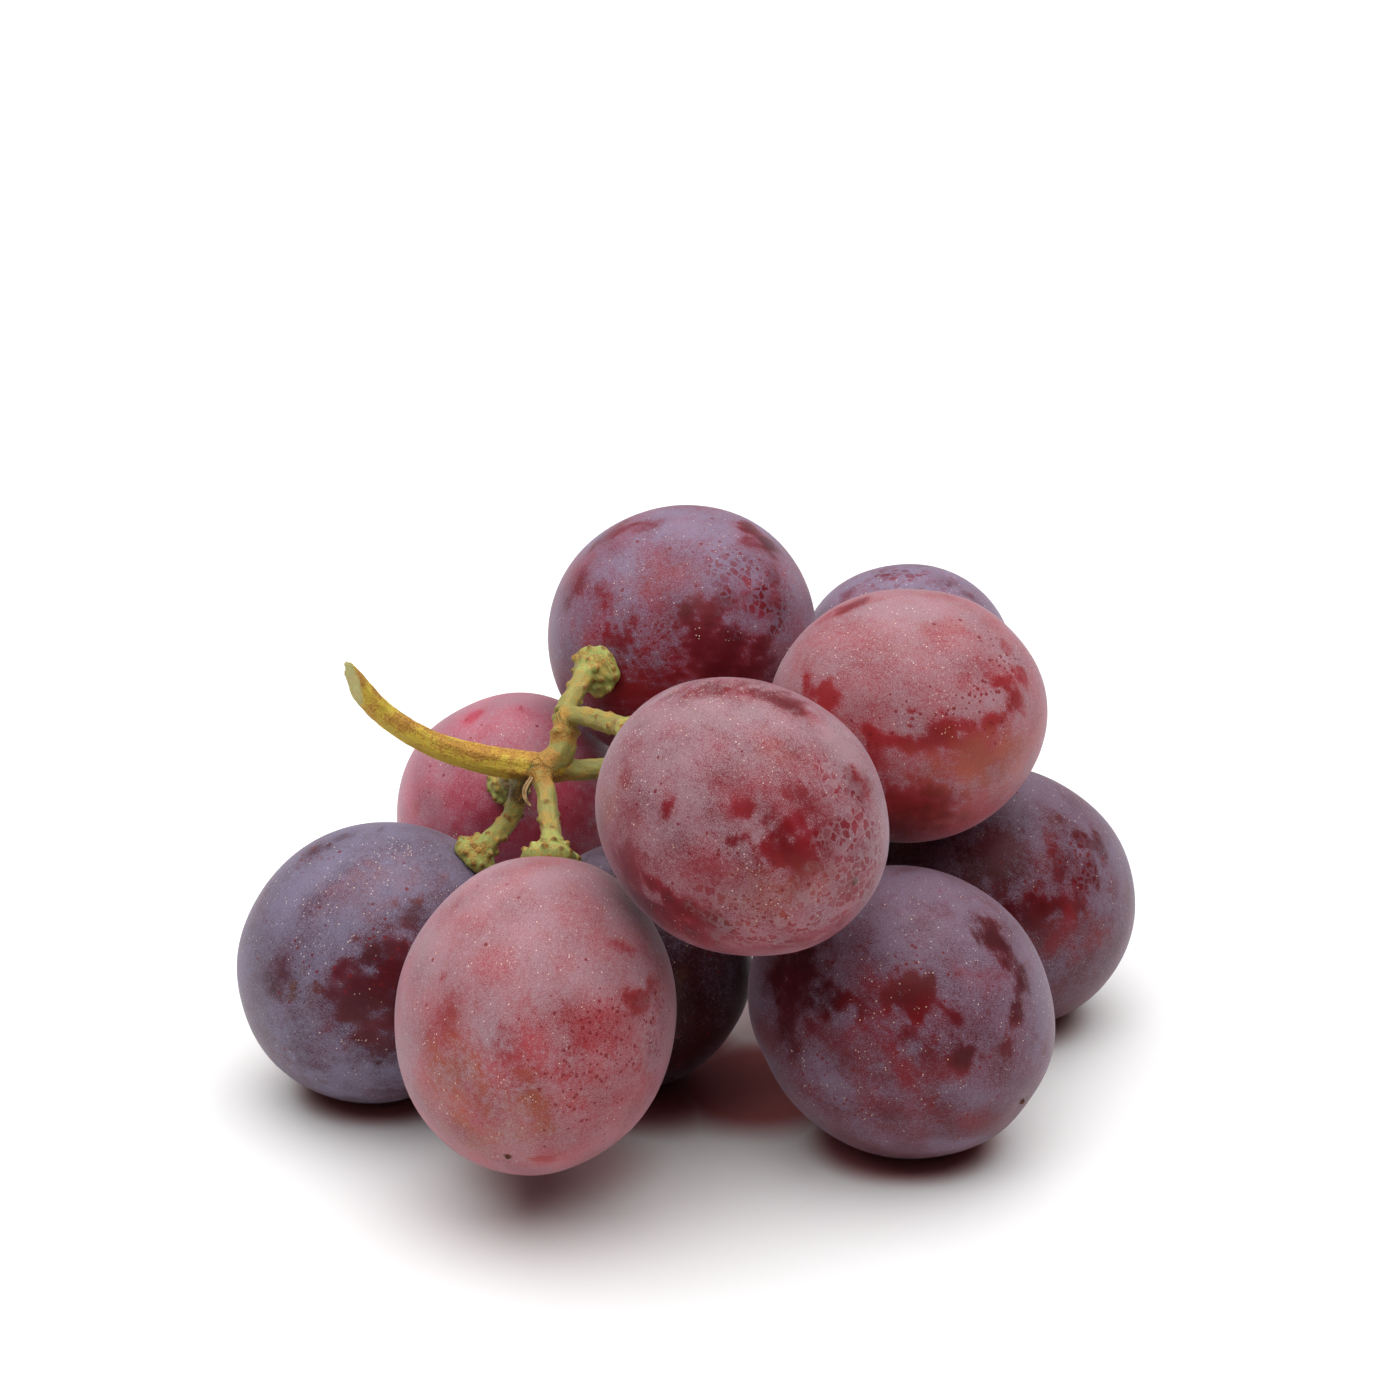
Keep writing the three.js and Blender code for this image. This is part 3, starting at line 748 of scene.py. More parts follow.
def mark_fields(points, marks, seed):
    """For every kind, how strongly each point is marked, from 0 to 1. Inside a mark the field is its
    strength; it falls softly to 0 at the edge, measured in radii and frayed by a wavering field.
    Marks of one kind join as 1 minus the product of what each leaves open."""
    across, down, depth = pixels_of(points)
    coarse, fine = (waver(points, length, seed + i) for i, length in enumerate(FRAY_LENGTHS))
    fray = FRAY * (coarse + FINE_SHARE * fine) / (1 + FINE_SHARE)
    nearest = depth < np.median(depth)
    open_share = {kind: np.ones(len(points)) for kind in KINDS}
    for kind, spots in marks.items():
        for u, v, wide, tall, turn, strength in spots:
            du, dv = across - u, down - v
            c, s = cos(radians(turn)), sin(radians(turn))
            middle = np.argmin(np.where(nearest, du**2 + dv**2, 1e9))
            thick = max(wide, tall, SHALLOWEST)
            depth_gap = (depth - depth[middle]) * PIXELS_PER_MM / thick
            away = np.sqrt(((du * c + dv * s) / wide) ** 2 + ((dv * c - du * s) / tall) ** 2
                           + depth_gap**2)
            open_share[kind] *= 1 - strength * s_curve(EDGE - away + fray, 0, FADE)
    chance = np.random.default_rng(seed)
    middle = points.mean(axis=0)
    far_half = np.flatnonzero((points - middle) @ BACK < -FAR_BEHIND)
    for kind, count in FAR_MARKS.items():
        for centre in points[chance.choice(far_half, count)]:
            away = np.linalg.norm(points - centre, axis=1) / chance.uniform(*FAR_RADII)
            strength = chance.uniform(*FAR_STRENGTHS)
            open_share[kind] *= 1 - strength * s_curve(FAR_EDGE - away + fray, 0, FAR_FADE)
    return {kind: 1 - left for kind, left in open_share.items()}


print("kinds of mark:", ", ".join(KINDS))

# %% [markdown]
# The fields are painted into three things that every vertex carries: the colour of the skin under
# the bloom, how much wax lies on it, and where the net, the dots, the glints and the streaks are.
# The paints go on first, from red to the brown of a healed blemish. The shades come last: they only
# deepen the berry's own colour, where the skin is bare and where some dark marks paint shade.

# %% Choose the colours of the skins
SKINS = {                               # colour under the bloom, and how much wax, 0 to 1
    "berry_centre": ("802630", 0.42), "berry_top": ("7c2532", 0.4),
    "berry_upper_right": ("9a383f", 0.42), "berry_back_right": ("74303f", 0.55),
    "berry_right_end": ("5a1c24", 0.4), "berry_front_right": ("601e27", 0.42),
    "berry_low_middle": ("380e12", 0.12), "berry_front_left": ("9c464b", 0.46),
    "berry_left": ("522a36", 0.46), "berry_back_left": ("b34e63", 0.34),
}
PAINTS = {                              # a mark's colour, its share at full strength, its change of wax
    "red": ("8c1419", 0.5, -0.26),
    "rose": ("9c5040", 0.5, -0.2),
    "amber": ("a06234", 0.5, -0.1),
    "brown": ("6b4326", 0.8, -0.4),
}
SHADES = {                              # the same for marks that only deepen the berry's own colour, as bare skin and as painted shade
    "bare": ((0.76, 0.36, 0.32), 0.9, -0.88),
    "dark": ((0.38, 0.22, 0.22), 0.85, -0.8),
}
DOT_BROWN, DOT_EDGE, DOT_FADE = "4e2c16", 0.48, 0.22     # the dry dot's colour; mm from the tip
WAX_GAIN = 0.55                         # what a full mark of wax adds
WAX_AND_SHADE_UPWARD = 0.46                       # the bloom is thicker on the upper side; this also paints the lower side redder and darker, as shade
WAX_DRIFT, TINT_DRIFT = (0.1, 6), (0.1, 4)      # how far wax and colour drift, and over how many mm


def paint_skin(points, place, name, seed):
    """Colour (red, green, blue, 1) and wax per vertex, and the fields themselves."""
    fields = mark_fields(points, MARKS[name], seed)
    code, wax = SKINS[name]
    tint = np.repeat(colour(code)[None], len(points), axis=0)
    height = (points[:, 2] - points[:, 2].mean()) / np.ptp(points[:, 2])
    drift, length = WAX_DRIFT
    wax = (wax + WAX_AND_SHADE_UPWARD * height + drift * waver(points, length, seed + 2)
           + WAX_GAIN * fields["wax"])
    for kind, (paint, share, change) in PAINTS.items():
        cover = (share * fields[kind])[:, None]
        tint = tint * (1 - cover) + colour(paint) * cover
        wax = wax + change * fields[kind]
    for kind, (shade, share, change) in SHADES.items():
        tint = tint * (1 - share * fields[kind][:, None] * (1 - np.array(shade)))
        wax = wax + change * fields[kind]
    drift, length = TINT_DRIFT
    tint *= (1 + drift * waver(points, length, seed + 3))[:, None]
    dot = s_curve(DOT_EDGE - from_tip_of(place), 0, DOT_FADE)[:, None]
    tint = tint * (1 - dot) + colour(DOT_BROWN) * dot
    wax = wax * (1 - dot[:, 0])
    return np.c_[tint, np.ones(len(tint))], wax, fields


print("paints of the marks:", ", ".join([*PAINTS, *SHADES]))

# %% [markdown]
# The bloom is one node group, shared by all the skins. It reads a place in millimetres on the berry
# and the painted fields, and gives back a colour, a roughness and a height for the bump. First it
# makes the layer of wax uneven, by noises of four sizes and one drawn out along the berry.

# %% Lay the wax unevenly
NOISES = {                              # scale per mm, detail, roughness, how much it varies the wax
    "clouds": (0.55, 4.0, 0.6, 0.65), "mottle": (2.4, 3.0, 0.6, 0.6),
    "grain": (7.0, 2.0, 0.6, 0.8), "dust": (14.0, 1.0, 0.5, 0.9),
}
STREAK_STRETCH, LEAST_STREAK = (2.2, 2.2, 0.18), 0.25

bloom_in = {"Place": "Vector", "Skin": "Color", "Bloom": "Color", "Wax": "Float", "Net": "Float",
            "Pits": "Float", "Glints": "Float", "Scratch": "Float", "Streaks": "Float"}
bloom_out = {"Colour": "Color", "Roughness": "Float", "Height": "Float"}
bloom, wires, given, made = new_group("bloom", bloom_in, bloom_out)
place = given["Place"]
streak = wires.noise(wires.vector("MULTIPLY", place, STREAK_STRETCH), 1.0, 2.0)
uneven = wires.times(wires.minus(streak, 0.5), wires.plus(given["Streaks"], LEAST_STREAK))
noises = {}
for name, (scale, detail, roughness, amount) in NOISES.items():
    noises[name] = wires.noise(place, scale, detail, roughness)
    uneven = wires.plus(uneven, wires.times(wires.minus(noises[name], 0.5), amount))
layer = wires.step(wires.plus(given["Wax"], uneven), 0.0, 1.0)
print("noises in the wax:", ", ".join(noises))

# %% [markdown]
# Where drops have dried, the wax has drawn back into a net: each cell's middle is open and its border
# keeps the wax. The borders of Voronoi cells give that, once a noise has bent the straight lines.

# %% Open the net
NET_CELLS, BEND_SCALE, BEND = 1.2, 1.6, 0.7     # cells and bends per mm, and how far it bends (mm)
WALL_EDGES = (0.04, 0.17)               # distances from a border between which the wax ends
ALL_OPEN_FROM = 0.7                     # cells whose random number is lower are less open
NET_KEEPS = 0.58                        # wax that the borders keep, of what the layer lacks

bends = wires.add("TexNoise", {"Vector": place, "Scale": BEND_SCALE, "Detail": 1.0}).outputs["Color"]
bent_place = wires.vector("ADD", place, wires.vector("MULTIPLY", bends, (BEND, BEND, BEND)))
wall = wires.cell_walls(bent_place, NET_CELLS)
_, chance = wires.cells(bent_place, NET_CELLS)
opened = wires.times(wires.step(wall, *WALL_EDGES), wires.step(chance["Red"], 0.0, ALL_OPEN_FROM))
kept = wires.times(wires.minus(1.0, opened), wires.times(given["Net"], NET_KEEPS))
layer = wires.plus(layer, wires.times(wires.minus(1.0, layer), kept))
opened = wires.times(opened, given["Net"])
print("bloom group so far:", len(bloom.nodes), "nodes")

# %% [markdown]
# The dots are pores in the bloom, one in each picked cell of a finer pattern, more of them where the
# pits are painted. The scratches are the thin level lines of a noise.

# %% Prick the dots and draw the scratches
PIT_CELLS, PIT_CROWD, STRAY_PITS = 2.1, 0.85, 0.02
PIT_SIZE, PIT_SPREAD, PIT_EDGE = 0.24, 0.24, 0.12       # in cells
SCRATCH_SCALE, SCRATCH_EDGES = 1.7, (0.006, 0.022)

from_middle, chance = wires.cells(place, PIT_CELLS)
crowd = wires.plus(wires.times(given["Pits"], PIT_CROWD), STRAY_PITS)
chosen = wires.math("LESS_THAN", chance["Red"], crowd)
size = wires.plus(wires.times(chance["Green"], PIT_SPREAD), PIT_SIZE)
pit = wires.times(wires.step(wires.minus(size, from_middle), 0.0, PIT_EDGE), chosen)
line = wires.math("ABSOLUTE", wires.minus(wires.noise(place, SCRATCH_SCALE, 1.0), 0.5))
scratch = wires.times(wires.minus(1.0, wires.step(line, *SCRATCH_EDGES)), given["Scratch"])
print("bloom group so far:", len(bloom.nodes), "nodes")

# %% [markdown]
# Open cells, dots and scratches thin the layer, and dots and scratches also deepen the skin. Then the
# bloom's colour covers the skin as far as the layer is thick, and the finest noises speckle both.

# %% Cover the skin with the bloom
THINNED = ((opened, 0.85), (pit, 0.88), (scratch, 0.9))
DEEP_RED, DEEPENED = (0.17, 0.012, 0.014, 1), 0.7
COVER = 0.72                            # share of the skin's colour that the thickest bloom hides
SPECKLE, SPECKLE_FROM = 0.55, 0.45

cleared = layer
for gone, share in THINNED:
    cleared = wires.times(cleared, wires.minus(1.0, wires.times(gone, share)))
deep = wires.times(wires.math("MAXIMUM", pit, scratch), DEEPENED)
darker = wires.mix(deep, given["Skin"], DEEP_RED)
covered = wires.mix(wires.times(cleared, COVER), darker, given["Bloom"])
speckle = wires.plus(wires.times(wires.plus(noises["grain"], noises["dust"]), SPECKLE), SPECKLE_FROM)
shaded = wires.brighten(covered, speckle)
print("bloom group so far:", len(bloom.nodes), "nodes")

# %% [markdown]
# Tiny grains of wax glint on the bloom, thick where they are marked and thinly strewn elsewhere. The
# glints are painted highlights: pale dots in the colour, a little smoother and prouder than the wax.
# They are the smallest cells of all. The wax is duller than bare skin, and stands a little proud of it.

# %% Strew the glints and hand over the results
GLINT_CELLS, GLINT_SIZE, GLINT_EDGE = 4.4, 0.3, 0.12
GLINT_CROWD, STRAY_GLINTS = 0.42, 0.08
FAINTEST, GLINT_SPREAD = 0.25, 0.7
COOL_GLINT, WARM_GLINT = (1, 0.93, 0.8, 1), (1, 0.78, 0.48, 1)
BARE_ROUGHNESS, WAX_ROUGHNESS, GLINT_SHINE = 0.34, 0.24, 0.2

from_middle, chance = wires.cells(place, GLINT_CELLS)
crowd = wires.plus(wires.times(given["Glints"], GLINT_CROWD), wires.times(layer, STRAY_GLINTS))
glint = wires.times(wires.step(wires.minus(GLINT_SIZE, from_middle), 0.0, GLINT_EDGE),
                    wires.math("LESS_THAN", chance["Red"], crowd))
glint = wires.times(glint, wires.plus(wires.times(chance["Blue"], GLINT_SPREAD), FAINTEST))
# the painted highlight's colour, cool or warm
pale = wires.mix(chance["Green"], COOL_GLINT, WARM_GLINT)
wires.put(made["Colour"], wires.mix(glint, shaded, pale))
roughness = wires.plus(wires.times(cleared, WAX_ROUGHNESS), BARE_ROUGHNESS)
wires.put(made["Roughness"], wires.minus(roughness, wires.times(glint, GLINT_SHINE)))
relief = wires.plus(wires.times(cleared, 0.5), wires.times(noises["grain"], 0.5))
wires.put(made["Height"], wires.plus(relief, glint))
print("bloom group:", len(bloom.nodes), "nodes")

# %% [markdown]
# The skin's material sends those three to one Principled shader. Light goes a little way into the
# flesh and comes out red, and the wax gives a pale sheen where the skin turns away, so subsurface
# and sheen are set on the shader itself. Red, purple and nearly black berries differ in the bloom.

# %% Make the skins' materials
BUMP_DEPTH, BUMP_STRENGTH = 0.00006, 0.6        # m, and a share
BLOOMS = {"skin_red": "a28a92", "skin_purple": "858098", "skin_dark": "827488"}
SKIN_SLOTS = {
    "skin_red": ["berry_centre", "berry_upper_right", "berry_front_left", "berry_back_left"],
    "skin_purple": ["berry_top", "berry_back_right", "berry_left"],
    "skin_dark": ["berry_right_end", "berry_front_right", "berry_low_middle"],
}


def berry_material(name, bloom_code):
    """A waxed grape skin whose marks come from the mesh's own attributes."""
    material, wires, shader = new_material(name)
    coat = wires.add("Group", node_tree=bloom)
    for socket, attribute, output in (
            ("Place", "place", "Vector"), ("Skin", "skin", "Color"), ("Wax", "wax", "Fac"),
            ("Net", "net", "Fac"), ("Pits", "pits", "Fac"), ("Glints", "glints", "Fac"),
            ("Scratch", "scratch", "Fac"), ("Streaks", "streaks", "Fac")):
        wires.put(coat.inputs[socket], wires.add("Attribute", attribute_name=attribute).outputs[output])
    wires.put(coat.inputs["Bloom"], painted(bloom_code))
    wires.put(shader.inputs["Base Color"], coat.outputs["Colour"])
    wires.put(shader.inputs["Roughness"], coat.outputs["Roughness"])
    bump = wires.add("Bump", {"Height": coat.outputs["Height"], "Strength": BUMP_STRENGTH,
                              "Distance": BUMP_DEPTH})
    wires.put(shader.inputs["Normal"], bump.outputs["Normal"])
    for socket, value in {"IOR": 1.4, "Specular IOR Level": 0.22, "Subsurface Weight": 0.2,
                          "Subsurface Radius": (1.0, 0.28, 0.2), "Subsurface Scale": 0.0025,
                          "Sheen Weight": 0.26, "Sheen Roughness": 0.35,
                          "Sheen Tint": (0.86, 0.84, 1, 1)}.items():
        shader.inputs[socket].default_value = value
    return material


skin_materials = {slot: berry_material("grape_" + slot, code) for slot, code in BLOOMS.items()}
print("skin materials:", ", ".join(skin_materials))

# %% [markdown]
# Now every berry gets its skin, its marks and its material. Each skin takes its own stretch of the
# pattern's space, so that no two berries have the same noise.

# %% Lay the skins over the berries
PATTERN_APART = 40.0                    # mm from one berry's pattern to the next one's
for number, (name, berry) in enumerate(BERRIES.items()):
    slot = next(slot for slot, names in SKIN_SLOTS.items() if name in names)
    points, local, faces = berry_skin(berry, seed=number)
    tint, wax, fields = paint_skin(points, local, name, seed=100 + 10 * number)
    piece = new_piece("skin_of_" + name, points, faces)
    store(piece.data, "place", local + PATTERN_APART * number)
    store(piece.data, "skin", tint)
    store(piece.data, "wax", wax)
    for kind in ("net", "pits", "glints", "scratch", "streaks"):
        store(piece.data, kind, fields[kind])
    piece.data.materials.append(skin_materials[slot])
    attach(piece, "root")
    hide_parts(name)
    print(f"{name}: {len(piece.data.polygons)} faces, wax {wax.min():.2f} to {wax.max():.2f}")

# %% [markdown]
# The stalk is one grown piece: the stem with its cut end, the axis that it turns into, and a short
# stalk to every berry, which swells into a warty cup. Each part is a tube along a smooth curve or a
# turned cup; they are pushed into each other and then fused, so that the joints are as round as
# grown wood. The curves follow those of the solids.

# %% Set out the stalk
STEM = [                                # x, y, z and radius (mm) at each point of its curve
    [-32.2, -7.5, 43, 1.04], [-30.6, -7, 41.4, 1.04], [-27.5, -6, 37.2, 1.04],
    [-23.5, -5, 34, 1.12], [-19.1, -3.5, 31.8, 1.3], [-14.9, -2.5, 30.6, 1.35],
    [-12.4, -2.2, 30.3, 1.15],
]
CUT_POINT, CUT_NORMAL = np.array([-30.1, -6.9, 40.7]), unit([-0.74, -0.66, -0.08])
AXIS = [
    [-14.4, -2.5, 30.4, 1.2], [-10.5, -1.5, 29.8, 1], [-6.5, 0.2, 29.2, 0.98],
    [-2, 1.2, 28.7, 0.95], [2.4, 2, 28, 0.95], [5.6, 2.8, 27, 0.85],
]
SIDE_BRANCH = [
    [-13.4, -2.5, 30.5, 1.25], [-12, -1.9, 31.5, 1.22], [-11.6, -0.7, 33.2, 1.15],
    [-11.8, 0.4, 34.4, 1],
]
COLLARS = [                             # middle, direction and radius
    ([-11.6, -0.8, 33.1], [0, 0.55, 0.83], 1.32), ([-13, -2.4, 30.4], [1, 0.1, -0.1], 1.45),
]
BERRY_STALKS = {                        # the way towards the cup, and the cup's radius
    "berry_top": ([[-11.8, 0.5, 34.4], [-11.2, 2, 34.9], [-10.6, 3.6, 35.3]], 2.35),
    "berry_centre": ([[-11.7, 0.3, 34.1], [-9.9, -1.5, 35.1], [-8.2, -4.5, 35.9],
                      [-6.8, -7.5, 36.8], [-6.1, -9.6, 37.6]], 2.2),
    "berry_front_left": ([[-14, -2.9, 30.3], [-13.3, -4.5, 29.2], [-13, -6.6, 28.4],
                          [-12.8, -8.8, 28], [-12.6, -10.9, 28]], 2.65),
    "berry_left": ([[-14.9, -2.5, 30], [-15.7, -2.2, 28.1], [-16.1, -2.2, 26.4],
                    [-16.8, -2.8, 25]], 2.1),
    "berry_back_left": ([[-15, -2, 29.9], [-15.9, 0.6, 28.6], [-16.6, 3.4, 26.8]], 2),
    "berry_low_middle": ([[-3, 1, 28.8], [-3.7, 0.4, 26.4]], 2),
    "berry_upper_right": ([[2.4, 2, 28.1], [2.6, -0.6, 31.2], [3.6, -3.8, 34.4]], 2.2),
    "berry_front_right": ([[1.4, 1.9, 28.2], [2.6, -1.6, 25.4], [4.4, -5, 21.8]], 2.2),
    "berry_right_end": ([[5, 2.7, 27.2], [8.4, 3, 25.4], [11.8, 3.5, 22.8]], 2.2),
    "berry_back_right": ([[5, 2.7, 27.2], [8.6, 5.6, 26.4], [12.4, 10.4, 26.6]], 2),
}
STALK_RADIUS, CUP_HEIGHT, NECK_HEIGHT = 0.88, 1.15, 2.4     # mm; both heights are over the seat


def seat_of(name):
    """Where a cup sits: the point of the ellipsoid in the seat's direction, and the outward normal
    there, which is that direction with each part divided once more by the half size."""
    berry = BERRIES[name]
    axes = upright_axes(berry["tip"])
    inward = unit(berry.get("seat", -np.asarray(berry["tip"], float))) @ axes.T
    size = np.array([berry["across"], berry["across"], berry["along"]])
    point = inward / np.linalg.norm(inward / size)
    return berry["at"] + point @ axes, unit(point / size**2) @ axes


print("seats (mm):", {name: np.round(seat_of(name)[0], 1).tolist() for name in BERRY_STALKS})

# %% [markdown]
# A tube follows a smooth curve through a few control points. Its section isn't a plain circle: low
# ridges run along it, as on a green stem, and its radius wavers a little.

# %% Shape a tube
PATH_STEP = 0.18                        # mm between the rings of a tube
TUBE_SIDES, RIDGES, RIDGE_HEIGHT = 28, 5, 0.05      # the ridges' height is a share of the radius
LUMPS, LUMP_LENGTH = 0.05, 1.7          # mm, how far the skin wavers and over what length


def smooth_path(control, step=PATH_STEP):
    """Points about one step apart on the curve through the control points, each stretch a cubic
    whose slope at a point is half the way from the point before to the point after."""
    control = np.asarray(control, float)
    first, last = 2 * control[0] - control[1], 2 * control[-1] - control[-2]
    padded = np.concatenate([[first], control, [last]])
    before, start, end, after = padded[:-3], padded[1:-2], padded[2:-1], padded[3:]
    steps = np.maximum(2, np.ceil(np.linalg.norm((end - start)[:, :3], axis=1) / step)).astype(int)
    which = np.repeat(np.arange(len(start)), steps)
    t = np.concatenate([np.arange(n) / n for n in steps])[:, None]
    a, b, c, d = before[which], start[which], end[which], after[which]
    path = 0.5 * (2 * b + (c - a) * t + (2 * a - 5 * b + 4 * c - d) * t**2
                  + (3 * b - a - 3 * c + d) * t**3)
    return np.concatenate([path, control[-1:]])


def tube(path, ridges=RIDGES, lumps=LUMPS, seed=0):
    """A closed tube: at each path point a ring at right angles to the path, with the point's radius
    times 1 + ridge height cos(ridges angle), plus a small waver."""
    centres, radii = path[:, :3], path[:, 3]
    ahead = unit(np.gradient(centres, axis=0))
    side = unit(np.cross(ahead, upright_axes(centres[-1] - centres[0])[0]))
    up = np.cross(side, ahead)
    angle = np.linspace(0, 2 * pi, TUBE_SIDES, endpoint=False)
    ring = side[:, None] * np.cos(angle)[:, None] + up[:, None] * np.sin(angle)[:, None]
    grow = radii[:, None] * (1 + RIDGE_HEIGHT * np.cos(ridges * angle + seed))
    points = centres[:, None] + ring * grow[..., None]
    lump = lumps * waver(points.reshape(-1, 3), LUMP_LENGTH, seed + 50)
    points += ring * lump.reshape(len(path), TUBE_SIDES, 1)
    return skin_over(points[:, ::-1], centres[0], centres[-1])


print("rings along the stem:", len(smooth_path(STEM)))

# %% [markdown]
# A cup is turned round the line from the berry: a mouth against the skin, a rounded lip, and a neck
# that narrows to the stalk. The mouth reaches down to the berry's skin and follows its roundness.

# %% Shape a cup
CUP_SIDES = 36
CUP_LUMPS = ((5, 0.045, 1), (9, 0.03, 2))       # lumps round it, their share of the radius, turn


def cup(name, radius, seed):
    """Rings of a cup round the seat's normal: a short profile of heights (mm) and of radii, as
    shares of the cup's, made lumpy by two cosines of the turn. The mouth sinks by the sag of the
    berry's skin over the cup's width."""
    seat, outward = seat_of(name)
    sag = radius**2 / (2 * BERRIES[name]["across"])
    profile = np.array([[0.0, 0.72], [0.1 - sag, 0.93], [0.4, 1.02], [0.75, 1.02], [1.0, 0.95],
                        [CUP_HEIGHT + 0.12, 0.8], [CUP_HEIGHT + 0.45, 0.62], [1.95, 0.5],
                        [NECK_HEIGHT, 0.43]])
    angle = np.linspace(0, 2 * pi, CUP_SIDES, endpoint=False)
    lumpy = sum((share * np.cos(count * angle + turn * seed) for count, share, turn in CUP_LUMPS), 1)
    grow = radius * profile[:, 1:] * lumpy
    height = np.repeat(profile[:, :1], CUP_SIDES, axis=1)
    rings = np.stack([grow * np.cos(angle), grow * np.sin(angle), height], axis=-1)
    points, faces = skin_over(rings, np.zeros(3), np.array([0, 0, NECK_HEIGHT]))
    return seat + points @ upright_axes(outward), faces


print("points in a cup:", len(cup("berry_top", 2.35, 0)[0]))

# %% [markdown]
# Small brown warts stand round every lip, on the neck and along the stalk. Each is a low round bump.
# The golden angle between one and the next keeps those round a lip from standing in rows.

# %% Shape the warts
WART_SIDES, WART_RINGS = 12, 7
WART_ROOT = 0.75                        # how deep its root reaches, and the share of a ball it shows
GOLDEN_ANGLE = 2.4                      # radians between one wart and the next
WARTS_ROUND_LIP, WARTS_ON_NECK, WARTS_ON_STALK = 13, 8, 14
LIP_HEIGHTS, NECK_HEIGHTS = (0.55, 1.1), (1.35, 2.2)        # mm over the seat
ALONG_STALK, WART_SIZES = (0.35, 0.92), (0.22, 0.38)        # share of its length; mm


def wart(place, outward, size):
    """A low round bump: three quarters of a ball on a short root, its axis along outward."""
    polar = np.linspace(0.15, 1, WART_RINGS)[:, None] * pi * WART_ROOT
    angle = np.linspace(0, 2 * pi, WART_SIDES, endpoint=False)
    rings = np.stack([np.sin(polar) * np.cos(angle), np.sin(polar) * np.sin(angle),
                      np.repeat(np.cos(polar), WART_SIDES, axis=1)], axis=-1)[::-1]
    points, faces = skin_over(rings, np.array([0, 0, -WART_ROOT]), np.array([0, 0, 1.0]))
    return place + size * points @ upright_axes(outward), faces


def warts_of(name, radius, path, seed):
    """Places, directions and sizes of one stalk's warts, round the lip, on the neck and up the stalk,
    each of the first two kinds turned from the one before by the golden angle."""
    chance = np.random.default_rng(seed)
    seat, outward = seat_of(name)
    axes = upright_axes(outward)
    count = WARTS_ROUND_LIP + WARTS_ON_NECK
    turn = GOLDEN_ANGLE * np.arange(count) + seed
    on_lip = np.arange(count) < WARTS_ROUND_LIP
    heights = [chance.uniform(*span, count) for span in (LIP_HEIGHTS, NECK_HEIGHTS)]
    height = np.where(on_lip, *heights)
    spread = radius * np.where(on_lip, 0.97, 0.66 - 0.1 * (height - 1.3))
    around = np.stack([np.cos(turn), np.sin(turn), np.zeros(count)], axis=1)
    places = seat + (around * spread[:, None] + np.c_[0 * turn, 0 * turn, height]) @ axes
    ways = (around + [0, 0, 0.25]) @ axes
    row = (len(path) * chance.uniform(*ALONG_STALK, WARTS_ON_STALK)).astype(int)
    ahead = np.gradient(path[:, :3], axis=0)[row]
    sideways = unit(np.cross(ahead, chance.normal(size=(WARTS_ON_STALK, 3))))
    places = np.concatenate([places, path[row, :3] + sideways * path[row, 3:] * 0.95])
    return places, np.concatenate([ways, sideways]), chance.uniform(*WART_SIZES, len(places))


print("warts on each stalk:", WARTS_ROUND_LIP + WARTS_ON_NECK + WARTS_ON_STALK)

# %% [markdown]
# The parts are gathered into one list of points and faces. The stem has more and finer ridges than
# the rest. Its end is cut by a slanting plane: every point past the plane is moved back on to it.

# %% Build the whole stalk
STEM_RIDGES, STEM_LUMPS = 7, 0.015
COLLAR_HALF, COLLAR_RINGS = 0.45, 9     # mm, half its length, and its rings
STEM_END_X = -29                        # only points farther left than this can be past the cut

parts, warts, centrelines = [], [], []
for seed, control in enumerate((STEM, AXIS, SIDE_BRANCH)):
    path = smooth_path(control)
    ridged = dict(ridges=STEM_RIDGES, lumps=STEM_LUMPS) if control is STEM else {}
    parts.append(tube(path, seed=seed, **ridged))
    centrelines.append((control is STEM, path))
for place, along, radius in COLLARS:
    ring = np.linspace(-COLLAR_HALF, COLLAR_HALF, COLLAR_RINGS)[:, None] * unit(along) + place
    bulge = np.cos(np.linspace(-1, 1, COLLAR_RINGS)) ** 0.5
    parts.append(tube(np.c_[ring, radius * bulge], seed=9))
for seed, (name, (way, cup_radius)) in enumerate(BERRY_STALKS.items()):
    seat, outward = seat_of(name)
    into_cup = [seat + outward * height for height in (NECK_HEIGHT, CUP_HEIGHT)]
    control = np.concatenate([np.array(way, float), into_cup])
    path = smooth_path(np.c_[control, np.full(len(control), STALK_RADIUS)])
    parts += [tube(path, seed=seed + 20), cup(name, cup_radius, seed)]
    centrelines.append((False, path))
    warts.append(warts_of(name, cup_radius, path, seed))
wart_places, wart_ways, wart_sizes = (np.concatenate(column) for column in zip(*warts))
parts += [wart(*one) for one in zip(wart_places, wart_ways, wart_sizes)]

starts = np.cumsum([0] + [len(points) for points, _ in parts[:-1]])
stalk_points = np.concatenate([points for points, _ in parts])
stalk_faces = [[corner + int(start) for corner in face]
               for (_, faces), start in zip(parts, starts) for face in faces]
past_cut = np.maximum((stalk_points - CUT_POINT) @ CUT_NORMAL, 0)
near_end = stalk_points[:, 0] < STEM_END_X
stalk_points -= np.where(near_end, past_cut, 0)[:, None] * CUT_NORMAL
print("stalk:", len(parts), "closed parts,", len(wart_places), "warts")

# %% [markdown]
# Fusing is the voxel remesh's work: it fills space with little cubes and wraps one skin round all that
# is inside. It is run in millimetres, where its cubes are a sensible size, and a light smoothing
# takes off their corners.

# %% Fuse the stalk
VOXEL = 0.15                            # mm
SMOOTH_SHARE, SMOOTH_TIMES = 0.5, 2

